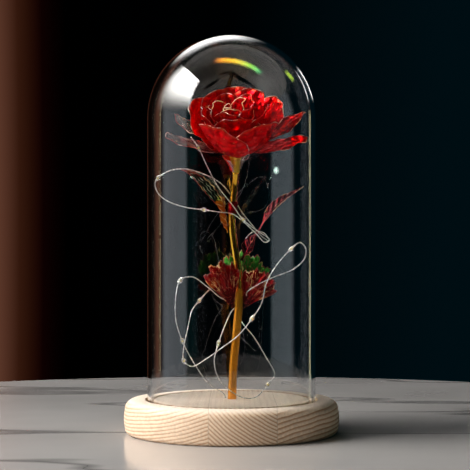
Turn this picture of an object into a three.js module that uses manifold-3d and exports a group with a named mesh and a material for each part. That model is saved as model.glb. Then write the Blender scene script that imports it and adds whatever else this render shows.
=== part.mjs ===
// A rose of glossy film wound with a wire of small lights, under a glass dome on a round pine base.
// Units are millimetres and degrees. +Z is up and -Y is the front. The origin is the middle of the underside.
import * as THREE from "three";
import { mergeVertices } from "three/addons/utils/BufferGeometryUtils.js";
import Module from "manifold-3d";

// Driving dimensions: the base and the dome
const GAP = 0.3; // clearance between pieces that touch
const FACETS = 40; // round the base, the cover and the dome
const BASE = { radius: 57.5, height: 18, topRound: 5, footRound: 3, bulge: 0.5, topSteps: 4, footSteps: 3 };
const GROOVE = { inner: 41.5, outer: 46, depth: 5 };
const DOME = { radius: 45, wall: 2, height: 200, lip: 0.6, arcSteps: 6 };
const COVER = { radius: 31, thickness: 2.4, recess: 0.5, edge: 0.6, slot: [14, 2.4, 1.1] };

// Driving dimensions: the stem and what sits on it
const STEM = { radius: 2.1, sides: 8, steps: 13, depth: 7, holeSides: 16 };
const STEM_ROUTE = [
  [0.3, 0, 11], [0.3, 0, 18], [0.9, 0.2, 34], [2.6, 0.6, 53], [4, 1, 71], [3.7, 1.5, 86],
  [2.4, 2, 95], [0.9, 2.4, 105], [0.3, 2.6, 114], [0.9, 2.9, 124], [1.7, 2.6, 132], [2.3, 0.9, 139],
];
const COLLAR = { radius: 3.1, bore: 2.5, barrel: 0.2, bottom: 117.5, top: 123.5, facets: 12 };
const CALYX = {
  tilt: 24, foot: 0.6, top: 11.6, length: 13.2, neck: 1.8, rim: 4, flare: 2.2, points: 5, pointHeight: 0.5, steps: 3,
};
const SEPAL_CUP = { neck: 2.9, rim: 7, flare: 1.5, bottom: 1.6, height: 9.6, wall: 0.5, facets: 16, steps: 3 };

// Driving dimensions: the flower. Radii and heights are from its axis and the top of the calyx. The lean of a
// petal from that axis is given at its base, its middle and its rim, and the bow is how far a whorl leans left.
const FLOWER = { tilt: 35, shift: 0.8, scale: 0.9, film: 0.4 };
const RECEPTACLE = [[0, 4.1], [2, 2], [3.4, 0.5], [4.7, -1], [5, -1.6], [3.9, -2.9]];
const RECEPTACLE_FACETS = 12;
const BUD = {
  bow: 11, bottom: 4, top: 31, topFall: 3, turns: 2, radius: 1.2, growth: 1, swell: 1, swellStart: 0.3, draw: 1.3,
};
const BUD_GRID = { along: 18, across: 3 };
const RINGS = [
  { name: "petal_inner", count: 3, first: 30, base: [2.2, 2.6], lean: [24, 6, 11], length: 29.5, half: 7.6,
    waist: 0.18, round: 0.24, power: 2.4, lap: 0.75, mostTurn: 80, bow: 10 },
  { name: "petal_middle", count: 5, first: 40, base: [2.9, 1.8], lean: [39, 11, 22], length: 31.5, half: 10.5,
    waist: 0.14, round: 0.26, power: 2.2, lap: 0.8, mostTurn: 60, bow: 6.8 },
  { name: "petal_main", count: 5, first: 54, base: [3.6, 1.05], lean: [51, 19, 34], length: 34, half: 14.5,
    waist: 0.12, round: 0.3, power: 2.2, lap: 0.9, mostTurn: 60, bow: 3.2 },
  { name: "petal_guard", count: 5, first: 18, base: [4.3, 0.3], lean: [59, 26, 44], length: 36.5, half: 17.5,
    waist: 0.11, round: 0.32, power: 2.1, lap: 1, mostTurn: 58, bow: 1.5 },
];
const OUTER_PETAL = { waist: 0.16, round: 0.34, power: 1.7, lap: 0.4, mostTurn: 60 };
const OUTER_PETALS = [
  { name: "petal_outer_right_upper", first: 26, base: [5, -0.6], lean: [74, 68, 58], length: 43, half: 8.5 },
  { name: "petal_outer_right_lower", first: 1, base: [5.6, -1.5], lean: [80, 73, 62], length: 36.5, half: 9 },
  { name: "petal_outer_left_upper", first: 152, base: [5, -0.6], lean: [74, 70, 60], length: 40, half: 6 },
  { name: "petal_outer_left_lower", first: 182, base: [5.6, -1.5], lean: [80, 68, 52], length: 38.5, half: 6 },
  { name: "petal_outer_back", first: 88, base: [5, -0.6], lean: [79, 62, 50], length: 41, half: 12.5 },
];
const PETAL_GRID = { along: 4, across: 6 };

// A petal reaches its full width, stops being held by its neighbours and starts to overlap them at these shares of
// its length. At its base it fills this share of its part of the ring.
const PETAL = { widest: 0.6, held: 0.15, loose: 0.5, overlaps: 0.2, baseFill: 0.9 };

// Driving dimensions: the leaves
const LEAF = { film: 0.4, along: 12, across: 4, stalk: 0.8, taper: 0.6, belly: 0.8, ribSlant: 0.9, pleatedFrom: 3 };
const LONG_LEAVES = [
  { name: "leaf_upper_left", roll: [62, 80], ribs: 13, pleat: 0.45, fold: 0.25,
    route: [[-1.9, 2.9, 107], [-6.5, 4.4, 116.2], [-11.5, 5.2, 125.5], [-19.5, 5, 137], [-27.2, 4, 141.2]],
    leaflets: [{ from: 0.02, to: 0.52, half: 5 }, { from: 0.46, to: 1, half: 5.5 }] },
  { name: "leaf_upper_right", roll: [112, 96], ribs: 15, pleat: 0.45, fold: 0.25,
    route: [[5.5, 2.3, 92], [9.4, 1.4, 99.5], [14.4, 0.1, 107.8], [22.5, -0.6, 120], [38.6, -1.5, 131.6]],
    leaflets: [{ from: 0.06, to: 0.31, half: 4.6 }, { from: 0.44, to: 1, half: 6 }] },
];
const FAN = { along: 5, across: 12, start: 0.6, round: 0.2, notch: 0.07, stalkTurn: 0.45 };
const FAN_LEAVES = [
  { name: "leaf_lower_left", root: [0.9, -0.2, 66], aim: 109, spread: 27, reach: 27, slope: -0.2, cup: 0.1,
    ribs: 3, pleat: 1.1 },
  { name: "leaf_lower_right", root: [6.6, 0, 66], aim: 45, spread: 27, reach: 22.5, slope: 0.03, cup: 0.1,
    ribs: 3, pleat: 1.1 },
  { name: "leaf_lower_back", root: [3.9, 4.2, 65], aim: 84, spread: 33, reach: 31.5, slope: 0.06, cup: -0.03,
    ribs: 3, pleat: 0.8 },
];

// Driving dimensions: the light string. Its route is chosen by hand, from the hole in the base to the last light.
const WIRE = { radius: 0.4, sides: 8, holeRadius: 1.2, holeDepth: 7, holeSides: 10 };
const LIGHT_DROP = { length: 4.2, radius: 1.25, sides: 6 };
const WIRE_ROUTE = [
  [-3.6, 5, 13.5], [-3.6, 5, 19.5], [-12.1, 6, 25.3], [-18.5, 3, 34.2], [-26.2, -3, 49.2], [-29.8, -4, 62.5],
  [-27.4, -1, 81.4], [-21.2, 0, 83.3], [-12.6, 1.6, 77.6], [-5.7, 4.8, 71.8], [-0.8, 6.4, 70.4], [2.2, 6.4, 67.9],
  [-0.8, 4, 63.2], [-6.9, -3, 48.1], [-9.2, -4.5, 38.1], [-6.6, -6, 29.2], [-0.3, -5.5, 22.7], [6.1, -2.5, 19],
  [13.1, 0.5, 18.9], [19.4, 0, 25.7], [23, -1, 31.1], [18.4, -2, 40.5], [12, 0, 51.1], [5.9, 6, 58.3],
  [3, 8.8, 63.5], [5.6, 9.2, 67.4], [8.7, 5.5, 70.2], [8.3, -2.4, 75.2], [15.8, -3.8, 80.2], [23.8, -3.6, 83.8],
  [32.2, -4, 87.1], [38.6, -5, 92.9], [39.3, -5, 98.8], [36.2, -5.5, 101.7], [31.6, -6, 98.3], [23.1, -8, 88.7],
  [18.3, -9, 79.8], [15.9, -9, 69.7], [10.9, -8.5, 61.5], [3.5, -7, 52.4], [-5, -7.5, 46], [-13.5, -8, 40],
  [-21, -7, 36], [-25.2, -6.5, 38.8], [-25.4, -6.5, 45.2], [-23.1, -5, 56.7], [-20.9, -3, 65.7],
  [-17.2, 0, 70.5], [-12.1, 5, 76.1], [-5.1, 8.5, 80.8], [2.4, 10, 85.7], [5.1, 8, 94.4], [7.8, 6, 103.8],
  [12.1, 5.8, 107.6], [17.5, 5.2, 106.8], [20.4, 3.6, 102.5], [16.4, 2.9, 104.9], [11, 4.4, 111.3],
  [6.2, 6, 117.3], [2.4, 7, 123.2], [-1.1, 6.4, 128.3], [-6.7, 1, 134.1], [-14.9, -3, 138.2],
  [-24.2, -5, 140.8], [-32.7, -5, 139.9], [-39.2, -4, 136], [-40.9, -3, 132.9], [-39.2, -2, 127.9],
  [-33.9, -3, 123.7], [-24.2, -5, 120.4], [-14.6, -6, 119.1], [-6.6, -6, 117.9], [0.3, -4, 117],
  [5.6, -3.6, 113.4], [13, -4.5, 106.5], [17.8, -4.5, 101.8], [20.2, -6, 103.3], [14.6, -7.5, 107.3],
  [6.3, -6.2, 113.7], [0.5, -5, 121.6], [-7.2, -6.5, 131.4], [-13.2, -9, 142.8], [-17.3, -12, 151.7],
  [-21.3, -14, 157.3],
];
const WIRE_LIGHTS = [4, 6, 13, 19, 34, 38, 43, 47, 65, 70, 78, 82];

const wasm = await Module();
wasm.setup();

const degrees = THREE.MathUtils.degToRad;
const vector = ([x, y, z]) => new THREE.Vector3(x, y, z);

const FINISHES = {
  pine: { color: 0xdcb98c, roughness: 0.6, metalness: 0 },
  darkPlastic: { color: 0x2b2926, roughness: 0.5, metalness: 0 },
  clearGlass: { color: 0xe8f2f2, roughness: 0.03, metalness: 0, transparent: true, opacity: 0.25 },
  goldFoil: { color: 0xd99a26, roughness: 0.2, metalness: 0.9 },
  redFilm: { color: 0xb80f1c, roughness: 0.15, metalness: 0.2 },
  leafFilm: { color: 0x7a1420, roughness: 0.2, metalness: 0.3 },
  silverWire: { color: 0xd8d4cc, roughness: 0.3, metalness: 0.8 },
};

// A named mesh of one piece in one of the finishes above.
function piece(name, geometry, finish) {
  geometry.computeVertexNormals();
  const mesh = new THREE.Mesh(geometry, new THREE.MeshStandardMaterial(FINISHES[finish]));
  mesh.name = name;
  return mesh;
}

// Closed geometry to a solid that can be joined and cut.
function solidOf(geometry) {
  const bare = geometry.clone().deleteAttribute("normal").deleteAttribute("uv");
  const merged = mergeVertices(bare, 1e-4);
  const { array } = merged.attributes.position;
  return new wasm.Manifold(
    new wasm.Mesh({ numProp: 3, vertProperties: array, triVerts: new Uint32Array(merged.index.array) }),
  );
}

// A solid back to geometry.
function geometryOf(solid) {
  const { vertProperties, triVerts } = solid.getMesh();
  return new THREE.BufferGeometry()
    .setAttribute("position", new THREE.BufferAttribute(vertProperties, 3))
    .setIndex(new THREE.BufferAttribute(triVerts, 1));
}

// A turned body about Z. The profile gives radius and height, from the top down its outside.
function turned(profile, facets) {
  const points = profile.map(([radius, height]) => new THREE.Vector2(radius, height));
  return new THREE.LatheGeometry(points.reverse(), facets).rotateX(Math.PI / 2);
}

// Points of an arc in a profile, from one angle to another, both included.
function arc(centreRadius, centreHeight, radius, from, to, steps) {
  return Array.from({ length: steps + 1 }, (_, i) => {
    const angle = degrees(from + ((to - from) * i) / steps);
    return [centreRadius + radius * Math.cos(angle), centreHeight + radius * Math.sin(angle)];
  });
}

// A thin closed body on the surface at(s, q), for s from 0 to 1 and q from -1 to 1, half its thickness each way.
function sheet(at, { along, across }, thickness) {
  const step = 1e-3;
  const count = (along + 1) * (across + 1);
  const corners = new Float32Array(count * 6);
  const index = [];
  const quad = (a, b, c, d) => index.push(a, b, c, a, c, d);
  const front = (i, j) => i * (across + 1) + j;
  const back = (i, j) => count + front(i, j);
  for (let i = 0; i <= along; i++) {
    for (let j = 0; j <= across; j++) {
      const s = i / along;
      const q = -1 + (2 * j) / across;
      const alongStep = at(Math.min(s + step, 1), q).sub(at(Math.max(s - step, 0), q));
      const acrossStep = at(s, Math.min(q + step, 1)).sub(at(s, Math.max(q - step, -1)));
      const half = alongStep.cross(acrossStep).normalize().multiplyScalar(thickness / 2);
      at(s, q).add(half).toArray(corners, front(i, j) * 3);
      at(s, q).sub(half).toArray(corners, back(i, j) * 3);
    }
  }
  for (let i = 0; i < along; i++) {
    for (let j = 0; j < across; j++) {
      quad(front(i, j), front(i + 1, j), front(i + 1, j + 1), front(i, j + 1));
      quad(back(i, j), back(i, j + 1), back(i + 1, j + 1), back(i + 1, j));
    }
    quad(front(i + 1, 0), front(i, 0), back(i, 0), back(i + 1, 0));
    quad(front(i, across), front(i + 1, across), back(i + 1, across), back(i, across));
  }
  for (let j = 0; j < across; j++) {
    quad(front(0, j), front(0, j + 1), back(0, j + 1), back(0, j));
    quad(front(along, j + 1), front(along, j), back(along, j), back(along, j + 1));
  }
  return new THREE.BufferGeometry()
    .setAttribute("position", new THREE.BufferAttribute(corners, 3))
    .setIndex(index);
}

// A curve whose even steps fall on its own points, so that a coarse tube still passes through each of them.
class PointedCurve extends THREE.CatmullRomCurve3 {
  getUtoTmapping(u) {
    return u;
  }
}

// A round tube of constant radius along a route.
function tube(curve, radius, sides, steps) {
  const section = new THREE.Shape(
    Array.from({ length: sides }, (_, i) => {
      const angle = (2 * Math.PI * i) / sides;
      return new THREE.Vector2(radius * Math.cos(angle), radius * Math.sin(angle));
    }),
  );
  return new THREE.ExtrudeGeometry(section, { steps, extrudePath: curve, bevelEnabled: false });
}

// A plug that cuts a round hole downwards from the top of the base.
function holeCutter(x, y, radius, depth, sides) {
  const above = 1;
  const length = depth + above;
  return new THREE.CylinderGeometry(radius, radius, length, sides)
    .rotateX(Math.PI / 2)
    .translate(x, y, BASE.height + above - length / 2);
}

// The pine base: a flat middle, the groove for the dome, a rounded rim and a round pocket underneath.
function woodBase() {
  const { radius, height, topRound, footRound, bulge, topSteps, footSteps } = BASE;
  const side = radius - bulge;
  const pocket = COVER.radius + GAP;
  const pocketTop = COVER.recess + COVER.thickness + GAP;
  const profile = [
    [0, height],
    [GROOVE.inner, height],
    [GROOVE.inner, height - GROOVE.depth],
    [GROOVE.outer, height - GROOVE.depth],
    [GROOVE.outer, height],
    ...arc(side - topRound, height - topRound, topRound, 90, 0, topSteps),
    [radius, height / 2],
    ...arc(side - footRound, footRound, footRound, 0, -90, footSteps),
    [pocket, 0],
    [pocket, pocketTop],
    [0, pocketTop],
  ];
  const [stemX, stemY] = STEM_ROUTE[0];
  const [wireX, wireY] = WIRE_ROUTE[0];
  const stemHole = holeCutter(stemX, stemY, STEM.radius + GAP, STEM.depth + 1, STEM.holeSides);
  const wireHole = holeCutter(wireX, wireY, WIRE.holeRadius, WIRE.holeDepth, WIRE.holeSides);
  const solid = solidOf(turned(profile, FACETS)).subtract(solidOf(stemHole)).subtract(solidOf(wireHole));
  return piece("wood_base", geometryOf(solid), "pine");
}

// The round cover in the pocket, with a slot for a coin.
function batteryCover() {
  const { radius, thickness, recess, edge, slot } = COVER;
  const profile = [
    [0, recess + thickness],
    [radius, recess + thickness],
    [radius, recess + edge],
    [radius - edge, recess],
    [0, recess],
  ];
  const slotCutter = new THREE.BoxGeometry(...slot).translate(0, 0, recess);
  const solid = solidOf(turned(profile, FACETS)).subtract(solidOf(slotCutter));
  return piece("battery_cover", geometryOf(solid), "darkPlastic");
}

// The dome: a tube closed by half a sphere, with a rounded lip, standing on the bottom of the groove.
function glassDome() {
  const { radius, wall, height, lip, arcSteps } = DOME;
  const foot = BASE.height - GROOVE.depth;
  const spring = foot + height - radius;
  const inner = radius - wall;
  const outside = arc(0, spring, radius, 90, 0, arcSteps);
  const inside = arc(0, spring, inner, 0, 90, arcSteps);
  outside[0][0] = 0;
  inside[arcSteps][0] = 0;
  const profile = [
    ...outside,
    [radius, foot + lip],
    [radius - lip, foot],
    [inner + lip, foot],
    [inner, foot + lip],
    ...inside,
  ];
  return piece("glass_dome", turned(profile, FACETS), "clearGlass");
}

function stem() {
  const curve = new PointedCurve(STEM_ROUTE.map(vector));
  return piece("stem", tube(curve, STEM.radius, STEM.sides, STEM.steps), "goldFoil");
}

// The short sleeve that grips the stem, with room for the stem's slight curve.
function stemCollar() {
  const { radius, bore, barrel, bottom, top, facets } = COLLAR;
  const half = (top - bottom) / 2;
  const middle = (top + bottom) / 2;
  const profile = [
    [bore, half],
    [radius - barrel, half],
    [radius, 0],
    [radius - barrel, -half],
    [bore, -half],
    [bore, half],
  ];
  const mesh = piece("stem_collar", turned(profile, facets), "redFilm");
  const fineSteps = 200;
  const stemPoints = new PointedCurve(STEM_ROUTE.map(vector)).getPoints(fineSteps);
  mesh.position.copy(stemPoints.find((point) => point.z > middle));
  return mesh;
}

// The gold trumpet between the stem and the petals, with the core that the petals stand on.
function calyx() {
  const { foot, top, neck, rim, flare, points, pointHeight, steps } = CALYX;
  const side = Array.from({ length: steps + 1 }, (_, i) => {
    const t = 1 - i / steps;
    return [neck + (rim - neck) * t ** flare, foot + (top - foot) * t];
  });
  const trumpet = turned([[0, top], ...side, [0, foot]], points * 2);
  const corners = trumpet.attributes.position;
  for (let i = 0; i < corners.count; i++) {
    const [x, y] = [corners.getX(i), corners.getY(i)];
    if (Math.hypot(x, y) > rim - 0.01)
      corners.setZ(i, corners.getZ(i) + pointHeight * Math.cos(points * Math.atan2(y, x)));
  }
  trumpet.applyMatrix4(calyxFrame());
  const bottom = RECEPTACLE[RECEPTACLE.length - 1][1];
  const core = turned([...RECEPTACLE, [0, bottom]], RECEPTACLE_FACETS).applyMatrix4(flowerFrame());
  return piece("calyx", geometryOf(solidOf(trumpet).add(solidOf(core))), "goldFoil");
}

// The red film funnel round the trumpet.
function sepalCup() {
  const { neck, rim, flare, bottom, height, wall, facets, steps } = SEPAL_CUP;
  const at = (t, shift) => [neck + (rim - neck) * t ** flare + shift, bottom + (height - bottom) * t];
  const rise = Array.from({ length: steps + 1 }, (_, i) => i / steps);
  const inside = rise.map((t) => at(t, -wall));
  const outside = rise.reverse().map((t) => at(t, 0));
  const profile = [...outside, ...inside, at(1, 0)];
  return piece("sepal_cup", turned(profile, facets).applyMatrix4(calyxFrame()), "redFilm");
}

// The frame of the calyx: its foot is at the top of the stem and it tilts to the front.
function calyxFrame() {
  const top = vector(STEM_ROUTE[STEM_ROUTE.length - 1]);
  return new THREE.Matrix4().makeRotationX(degrees(CALYX.tilt)).setPosition(top);
}

// The frame of the flower: its origin is the top of the calyx, and it tilts to the front.
function flowerFrame() {
  const { tilt, shift, scale } = FLOWER;
  const centre = new THREE.Vector3(shift, 0, CALYX.length).applyMatrix4(calyxFrame());
  const turn = new THREE.Matrix4().makeRotationX(degrees(tilt));
  return turn.scale(new THREE.Vector3(scale, scale, scale)).setPosition(centre);
}

// Where a petal's middle line is after the share u of its length: radius, height and lean in radians.
function petalRun({ base, lean, length }, u) {
  const [low, middle, high] = lean.map(degrees);
  const leanAt = (t) =>
    t < 0.5 ? THREE.MathUtils.lerp(low, middle, 2 * t) : THREE.MathUtils.lerp(middle, high, (2 * t - 1) ** 2);
  const steps = 16;
  let [radius, height] = base;
  for (let i = 0; i < steps; i++) {
    const angle = leanAt((u * (i + 0.5)) / steps);
    radius += (Math.sin(angle) * u * length) / steps;
    height += (Math.cos(angle) * u * length) / steps;
  }
  return { radius, height, angle: leanAt(u) };
}

// The surface of a petal: s runs from its base to its rim, q from edge to edge. One edge lies outside its
// neighbour and the other inside.
function petalSurface(petal, azimuth) {
  return (s, q) => {
    const u = s * (1 - petal.round * Math.abs(q) ** petal.power);
    const { radius, height, angle } = petalRun(petal, u);
    const grown = Math.sin((Math.PI / 2) * Math.min(1, u / PETAL.widest));
    const width = petal.half * (petal.waist + (1 - petal.waist) * grown);
    const baseTurn = petal.count ? (180 * PETAL.baseFill) / petal.count : petal.mostTurn;
    const loose = THREE.MathUtils.smoothstep(u, PETAL.held, PETAL.loose);
    const mostTurn = THREE.MathUtils.lerp(baseTurn, petal.mostTurn, loose);
    const turn = Math.min(width / radius, degrees(mostTurn));
    const proud = petal.lap * q * THREE.MathUtils.smoothstep(u, 0, PETAL.overlaps);
    const out = radius + proud * Math.cos(angle);
    const around = degrees(azimuth) + q * turn;
    return new THREE.Vector3(out * Math.cos(around), out * Math.sin(around), height - proud * Math.sin(angle));
  };
}

// The rolled innermost petal: s goes round it outwards, q from its bottom to its top.
function budSurface(s, q) {
  const { bottom, top, topFall, turns, radius, growth, swell, swellStart, draw } = BUD;
  const around = 2 * Math.PI * turns * s;
  const up = (q + 1) / 2;
  const swelled = swell * Math.sin(Math.PI * up) * THREE.MathUtils.lerp(swellStart, 1, s);
  const out = radius + growth * turns * s + swelled - draw * s * (1 - up);
  const height = bottom + (top - topFall * s - bottom) * up;
  return new THREE.Vector3(out * Math.cos(around), out * Math.sin(around), height);
}

// The flower: the bud and the rings of petals round it, each petal a piece.
function flower() {
  const film = FLOWER.film / FLOWER.scale;
  const whole = new THREE.Group();
  flowerFrame().decompose(whole.position, whole.quaternion, whole.scale);
  const whorl = (bow, ...pieces) => {
    const group = new THREE.Group().add(...pieces);
    group.rotation.y = -degrees(bow);
    whole.add(group);
  };
  whorl(BUD.bow, piece("bud", sheet(budSurface, BUD_GRID, film), "redFilm"));
  for (const ring of RINGS) {
    const petals = Array.from({ length: ring.count }, (_, i) => {
      const azimuth = ring.first + (360 * i) / ring.count;
      return piece(ring.name + "_" + (i + 1), sheet(petalSurface(ring, azimuth), PETAL_GRID, film), "redFilm");
    });
    whorl(ring.bow, ...petals);
  }
  for (const own of OUTER_PETALS) {
    const surface = petalSurface({ ...OUTER_PETAL, ...own }, own.first);
    whole.add(piece(own.name, sheet(surface, PETAL_GRID, film), "redFilm"));
  }
  return whole;
}

// A wave of straight ramps between -1 and 1, with one period for each whole step of t.
function ramps(t) {
  return 4 * Math.abs(t - Math.floor(t + 0.5)) - 1;
}

// A long leaf with one leaflet after another on a stalk, pleated along slanting ribs.
function longLeaf({ name, route, roll, leaflets, ribs, pleat, fold }) {
  const curve = new THREE.CatmullRomCurve3(route.map(vector));
  const front = new THREE.Vector3(0, -1, 0);
  const halfAt = (s) =>
    leaflets.reduce((half, leaflet) => {
      const t = (s - leaflet.from) / (leaflet.to - leaflet.from);
      return t > 0 && t < 1 ? Math.max(half, leaflet.half * Math.sin(Math.PI * t ** LEAF.belly)) : half;
    }, LEAF.stalk * (1 - LEAF.taper * s));
  const surface = (s, q) => {
    const tangent = curve.getTangentAt(s);
    const side = front.clone().cross(tangent).normalize();
    side.applyAxisAngle(tangent, degrees(THREE.MathUtils.lerp(roll[0], roll[1], s)));
    const normal = tangent.clone().cross(side);
    const half = halfAt(s);
    const ribbed = pleat * Math.min(1, half / LEAF.pleatedFrom) * ramps(ribs * s - LEAF.ribSlant * Math.abs(q));
    const rise = ribbed - fold * half * Math.abs(q);
    return curve.getPointAt(s).addScaledVector(side, q * half).addScaledVector(normal, rise);
  };
  return piece(name, sheet(surface, LEAF, LEAF.film), "leafFilm");
}

// A fan leaf, pleated along ribs that spread from its root, with a notched rim.
function fanLeaf({ name, root, aim, spread, reach, slope, cup, ribs, pleat }) {
  const { start, round, notch, stalkTurn } = FAN;
  const surface = (s, q) => {
    const rim = 1 - round * q * q - notch * (1 + ramps(2 * ribs * q)) * s;
    const out = reach * s * rim + start;
    const turn = degrees(aim - q * spread * (stalkTurn + (1 - stalkTurn) * Math.sqrt(s)));
    const depth = (slope + cup * q * q) * out + pleat * s * ramps(ribs * q);
    const side = q * LEAF.stalk * Math.sin(turn);
    return new THREE.Vector3(root[0] + out * Math.cos(turn) + side, root[1] + depth, root[2] + out * Math.sin(turn));
  };
  return piece(name, sheet(surface, FAN, LEAF.film), "leafFilm");
}

// One clear drop on the wire, along the wire where it sits.
function lightDrop(curve, index) {
  const { length, radius, sides } = LIGHT_DROP;
  const profile = [
    [0, length / 2],
    [radius, length / 6],
    [radius, -length / 6],
    [0, -length / 2],
  ];
  const t = index / (WIRE_ROUTE.length - 1);
  const along = new THREE.Quaternion().setFromUnitVectors(new THREE.Vector3(0, 0, 1), curve.getTangent(t));
  const place = new THREE.Matrix4().makeRotationFromQuaternion(along).setPosition(curve.getPoint(t));
  return turned(profile, sides).applyMatrix4(place);
}

// The wire with the drops that are cast onto it.
function lightString() {
  const curve = new PointedCurve(WIRE_ROUTE.map(vector));
  const wire = solidOf(tube(curve, WIRE.radius, WIRE.sides, WIRE_ROUTE.length - 1));
  const solid = WIRE_LIGHTS.reduce((joined, index) => joined.add(solidOf(lightDrop(curve, index))), wire);
  return piece("light_string", geometryOf(solid), "silverWire");
}

const rose = new THREE.Group();
rose.add(woodBase(), batteryCover(), glassDome());
rose.add(stem(), stemCollar(), calyx(), sepalCup(), flower());
rose.add(...LONG_LEAVES.map(longLeaf), ...FAN_LEAVES.map(fanLeaf));
rose.add(lightString());

export default rose;
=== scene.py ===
"""A rose of glossy film wound with a wire of small lights, under a glass dome on a round pine base.

The frame is the part's own: +Z up, -Y to the front, the origin in the middle of the base's underside. Sizes
of the object are in millimetres, as in its source, and become metres where a mesh is made. The camera, the
lights and the scales of patterns are in metres. The film petals and leaves follow the same rules as their
solids, with far finer creases, ribs and rims.
"""
import logging
import math
from collections.abc import Callable, Sequence
from dataclasses import dataclass, replace
from enum import Enum
from itertools import product
from typing import NamedTuple

import bpy
import numpy as np
from mathutils import Matrix, Vector


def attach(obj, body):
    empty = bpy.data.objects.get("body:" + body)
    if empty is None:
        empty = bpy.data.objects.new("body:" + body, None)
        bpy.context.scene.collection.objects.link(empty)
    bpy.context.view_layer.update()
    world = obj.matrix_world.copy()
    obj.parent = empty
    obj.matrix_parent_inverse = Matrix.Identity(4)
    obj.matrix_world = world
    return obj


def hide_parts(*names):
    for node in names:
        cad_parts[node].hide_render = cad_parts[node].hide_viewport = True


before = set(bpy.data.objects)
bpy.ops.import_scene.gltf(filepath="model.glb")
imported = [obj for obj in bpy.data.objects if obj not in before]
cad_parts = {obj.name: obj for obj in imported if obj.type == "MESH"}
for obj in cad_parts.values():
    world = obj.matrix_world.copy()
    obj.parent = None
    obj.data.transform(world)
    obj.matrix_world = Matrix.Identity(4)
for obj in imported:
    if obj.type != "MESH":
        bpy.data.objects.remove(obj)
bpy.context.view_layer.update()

log = logging.getLogger("rose")

Array = np.ndarray
Pair = tuple[float, float]
Point = tuple[float, float, float]
Colour = tuple[float, float, float]
Surface = Callable[[Array, Array], Array]
Socket = bpy.types.NodeSocket
Material = bpy.types.Material
Mesh = bpy.types.Mesh
Object = bpy.types.Object
Values = dict[str | int, object]

MM = 0.001
CRISP_ANGLE = 40.0
PETAL_FILM = 0.14
LEAF_FILM = 0.16
# How much finer each size of crease is than the largest one, and how deep it is
CREASE_SIZES = ((1.0, 0.5), (1.7, 0.35), (2.9, 0.22), (5.1, 0.12))


# Small mathematics


def smooth(value: Array | float, low: float, high: float) -> Array:
    """Returns the smooth step of a value from 0 at low to 1 at high."""
    t = np.clip((np.asarray(value, float) - low) / (high - low), 0.0, 1.0)
    return t * t * (3 - 2 * t)


def ramps(t: Array) -> Array:
    """Returns straight ramps between -1 and 1, with one period for each whole step of t."""
    return 4 * np.abs(t - np.floor(t + 0.5)) - 1


def polar(radius: Array, angle: Array, height: Array) -> Array:
    """Returns the points at a radius from Z, an angle in radians and a height."""
    return np.stack([radius * np.cos(angle), radius * np.sin(angle), height], axis=-1)


def turn_x(degrees: float) -> Array:
    """Returns the 4 x 4 matrix of a turn about X."""
    c, s = math.cos(math.radians(degrees)), math.sin(math.radians(degrees))
    return np.array([[1, 0, 0, 0], [0, c, -s, 0], [0, s, c, 0], [0, 0, 0, 1.0]])


def turn_y(degrees: float) -> Array:
    """Returns the 4 x 4 matrix of a turn about Y."""
    c, s = math.cos(math.radians(degrees)), math.sin(math.radians(degrees))
    return np.array([[c, 0, s, 0], [0, 1, 0, 0], [-s, 0, c, 0], [0, 0, 0, 1.0]])


def moved(place: Sequence[float]) -> Array:
    """Returns the 4 x 4 matrix of a move to a place."""
    x, y, z = place
    return np.array([[1, 0, 0, x], [0, 1, 0, y], [0, 0, 1, z], [0, 0, 0, 1.0]])


def placed(points: Array, matrix: Array) -> Array:
    """Returns the points, in an array whose last axis is x, y, z, moved by a 4 x 4 matrix."""
    return points @ matrix[:3, :3].T + matrix[:3, 3]


def arc(centre: Pair, radius: float, start: float, end: float, steps: int) -> list[Pair]:
    """Returns the points of an arc in a profile, from one angle to another in degrees, both included."""
    angles = np.radians(np.linspace(start, end, steps + 1))
    return [(centre[0] + radius * math.cos(a), centre[1] + radius * math.sin(a)) for a in angles]


def smooth_path(route: Sequence[Point], steps: int) -> Array:
    """Runs a smooth curve through the points of a route.

    Args:
        route: The points that the curve passes through.
        steps: The number of samples from one point to the next.

    Returns:
        The samples, with every point of the route among them.
    """
    points = np.array(route, float)
    padded = np.concatenate([[2 * points[0] - points[1]], points, [2 * points[-1] - points[-2]]])
    t = np.linspace(0, 1, steps, endpoint=False)[:, None]
    parts = []
    for p0, p1, p2, p3 in zip(padded, padded[1:], padded[2:], padded[3:]):
        k0, k1, k2 = (max(np.linalg.norm(b - a), 1e-6) ** 0.5 for a, b in ((p0, p1), (p1, p2), (p2, p3)))
        m1 = ((p1 - p0) / k0 - (p2 - p0) / (k0 + k1) + (p2 - p1) / k1) * k1
        m2 = ((p2 - p1) / k1 - (p3 - p1) / (k1 + k2) + (p3 - p2) / k2) * k1
        a, b = 2 * p1 - 2 * p2 + m1 + m2, -3 * p1 + 3 * p2 - 2 * m1 - m2
        parts.append(a * t**3 + b * t**2 + m1 * t + p1)
    return np.concatenate([*parts, points[-1:]])


def even_path(path: Array, step: float) -> Array:
    """Spaces the points of a path evenly.

    Args:
        path: The points of the path.
        step: About how far apart the new points are.

    Returns:
        The new points, from the path's first point to its last.
    """
    gone = np.concatenate([[0], np.cumsum(np.linalg.norm(np.diff(path, axis=0), axis=1))])
    wanted = np.linspace(0, gone[-1], max(2, int(round(gone[-1] / step)) + 1))
    return np.stack([np.interp(wanted, gone, path[:, axis]) for axis in range(3)], axis=1)


def path_frames(path: Array) -> tuple[Array, Array]:
    """Carries a section along a path without twist.

    Args:
        path: The points of the path.

    Returns:
        Two unit vectors across the path for each point.
    """
    tangent = np.gradient(path, axis=0)
    tangent /= np.linalg.norm(tangent, axis=1, keepdims=True)
    side = np.cross(tangent[0], [0.31, -0.87, 0.38])
    sides = []
    for along in tangent:
        side = side - along * np.dot(side, along)
        side = side / np.linalg.norm(side)
        sides.append(side)
    first = np.array(sides)
    return first, np.cross(tangent, first)


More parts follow.
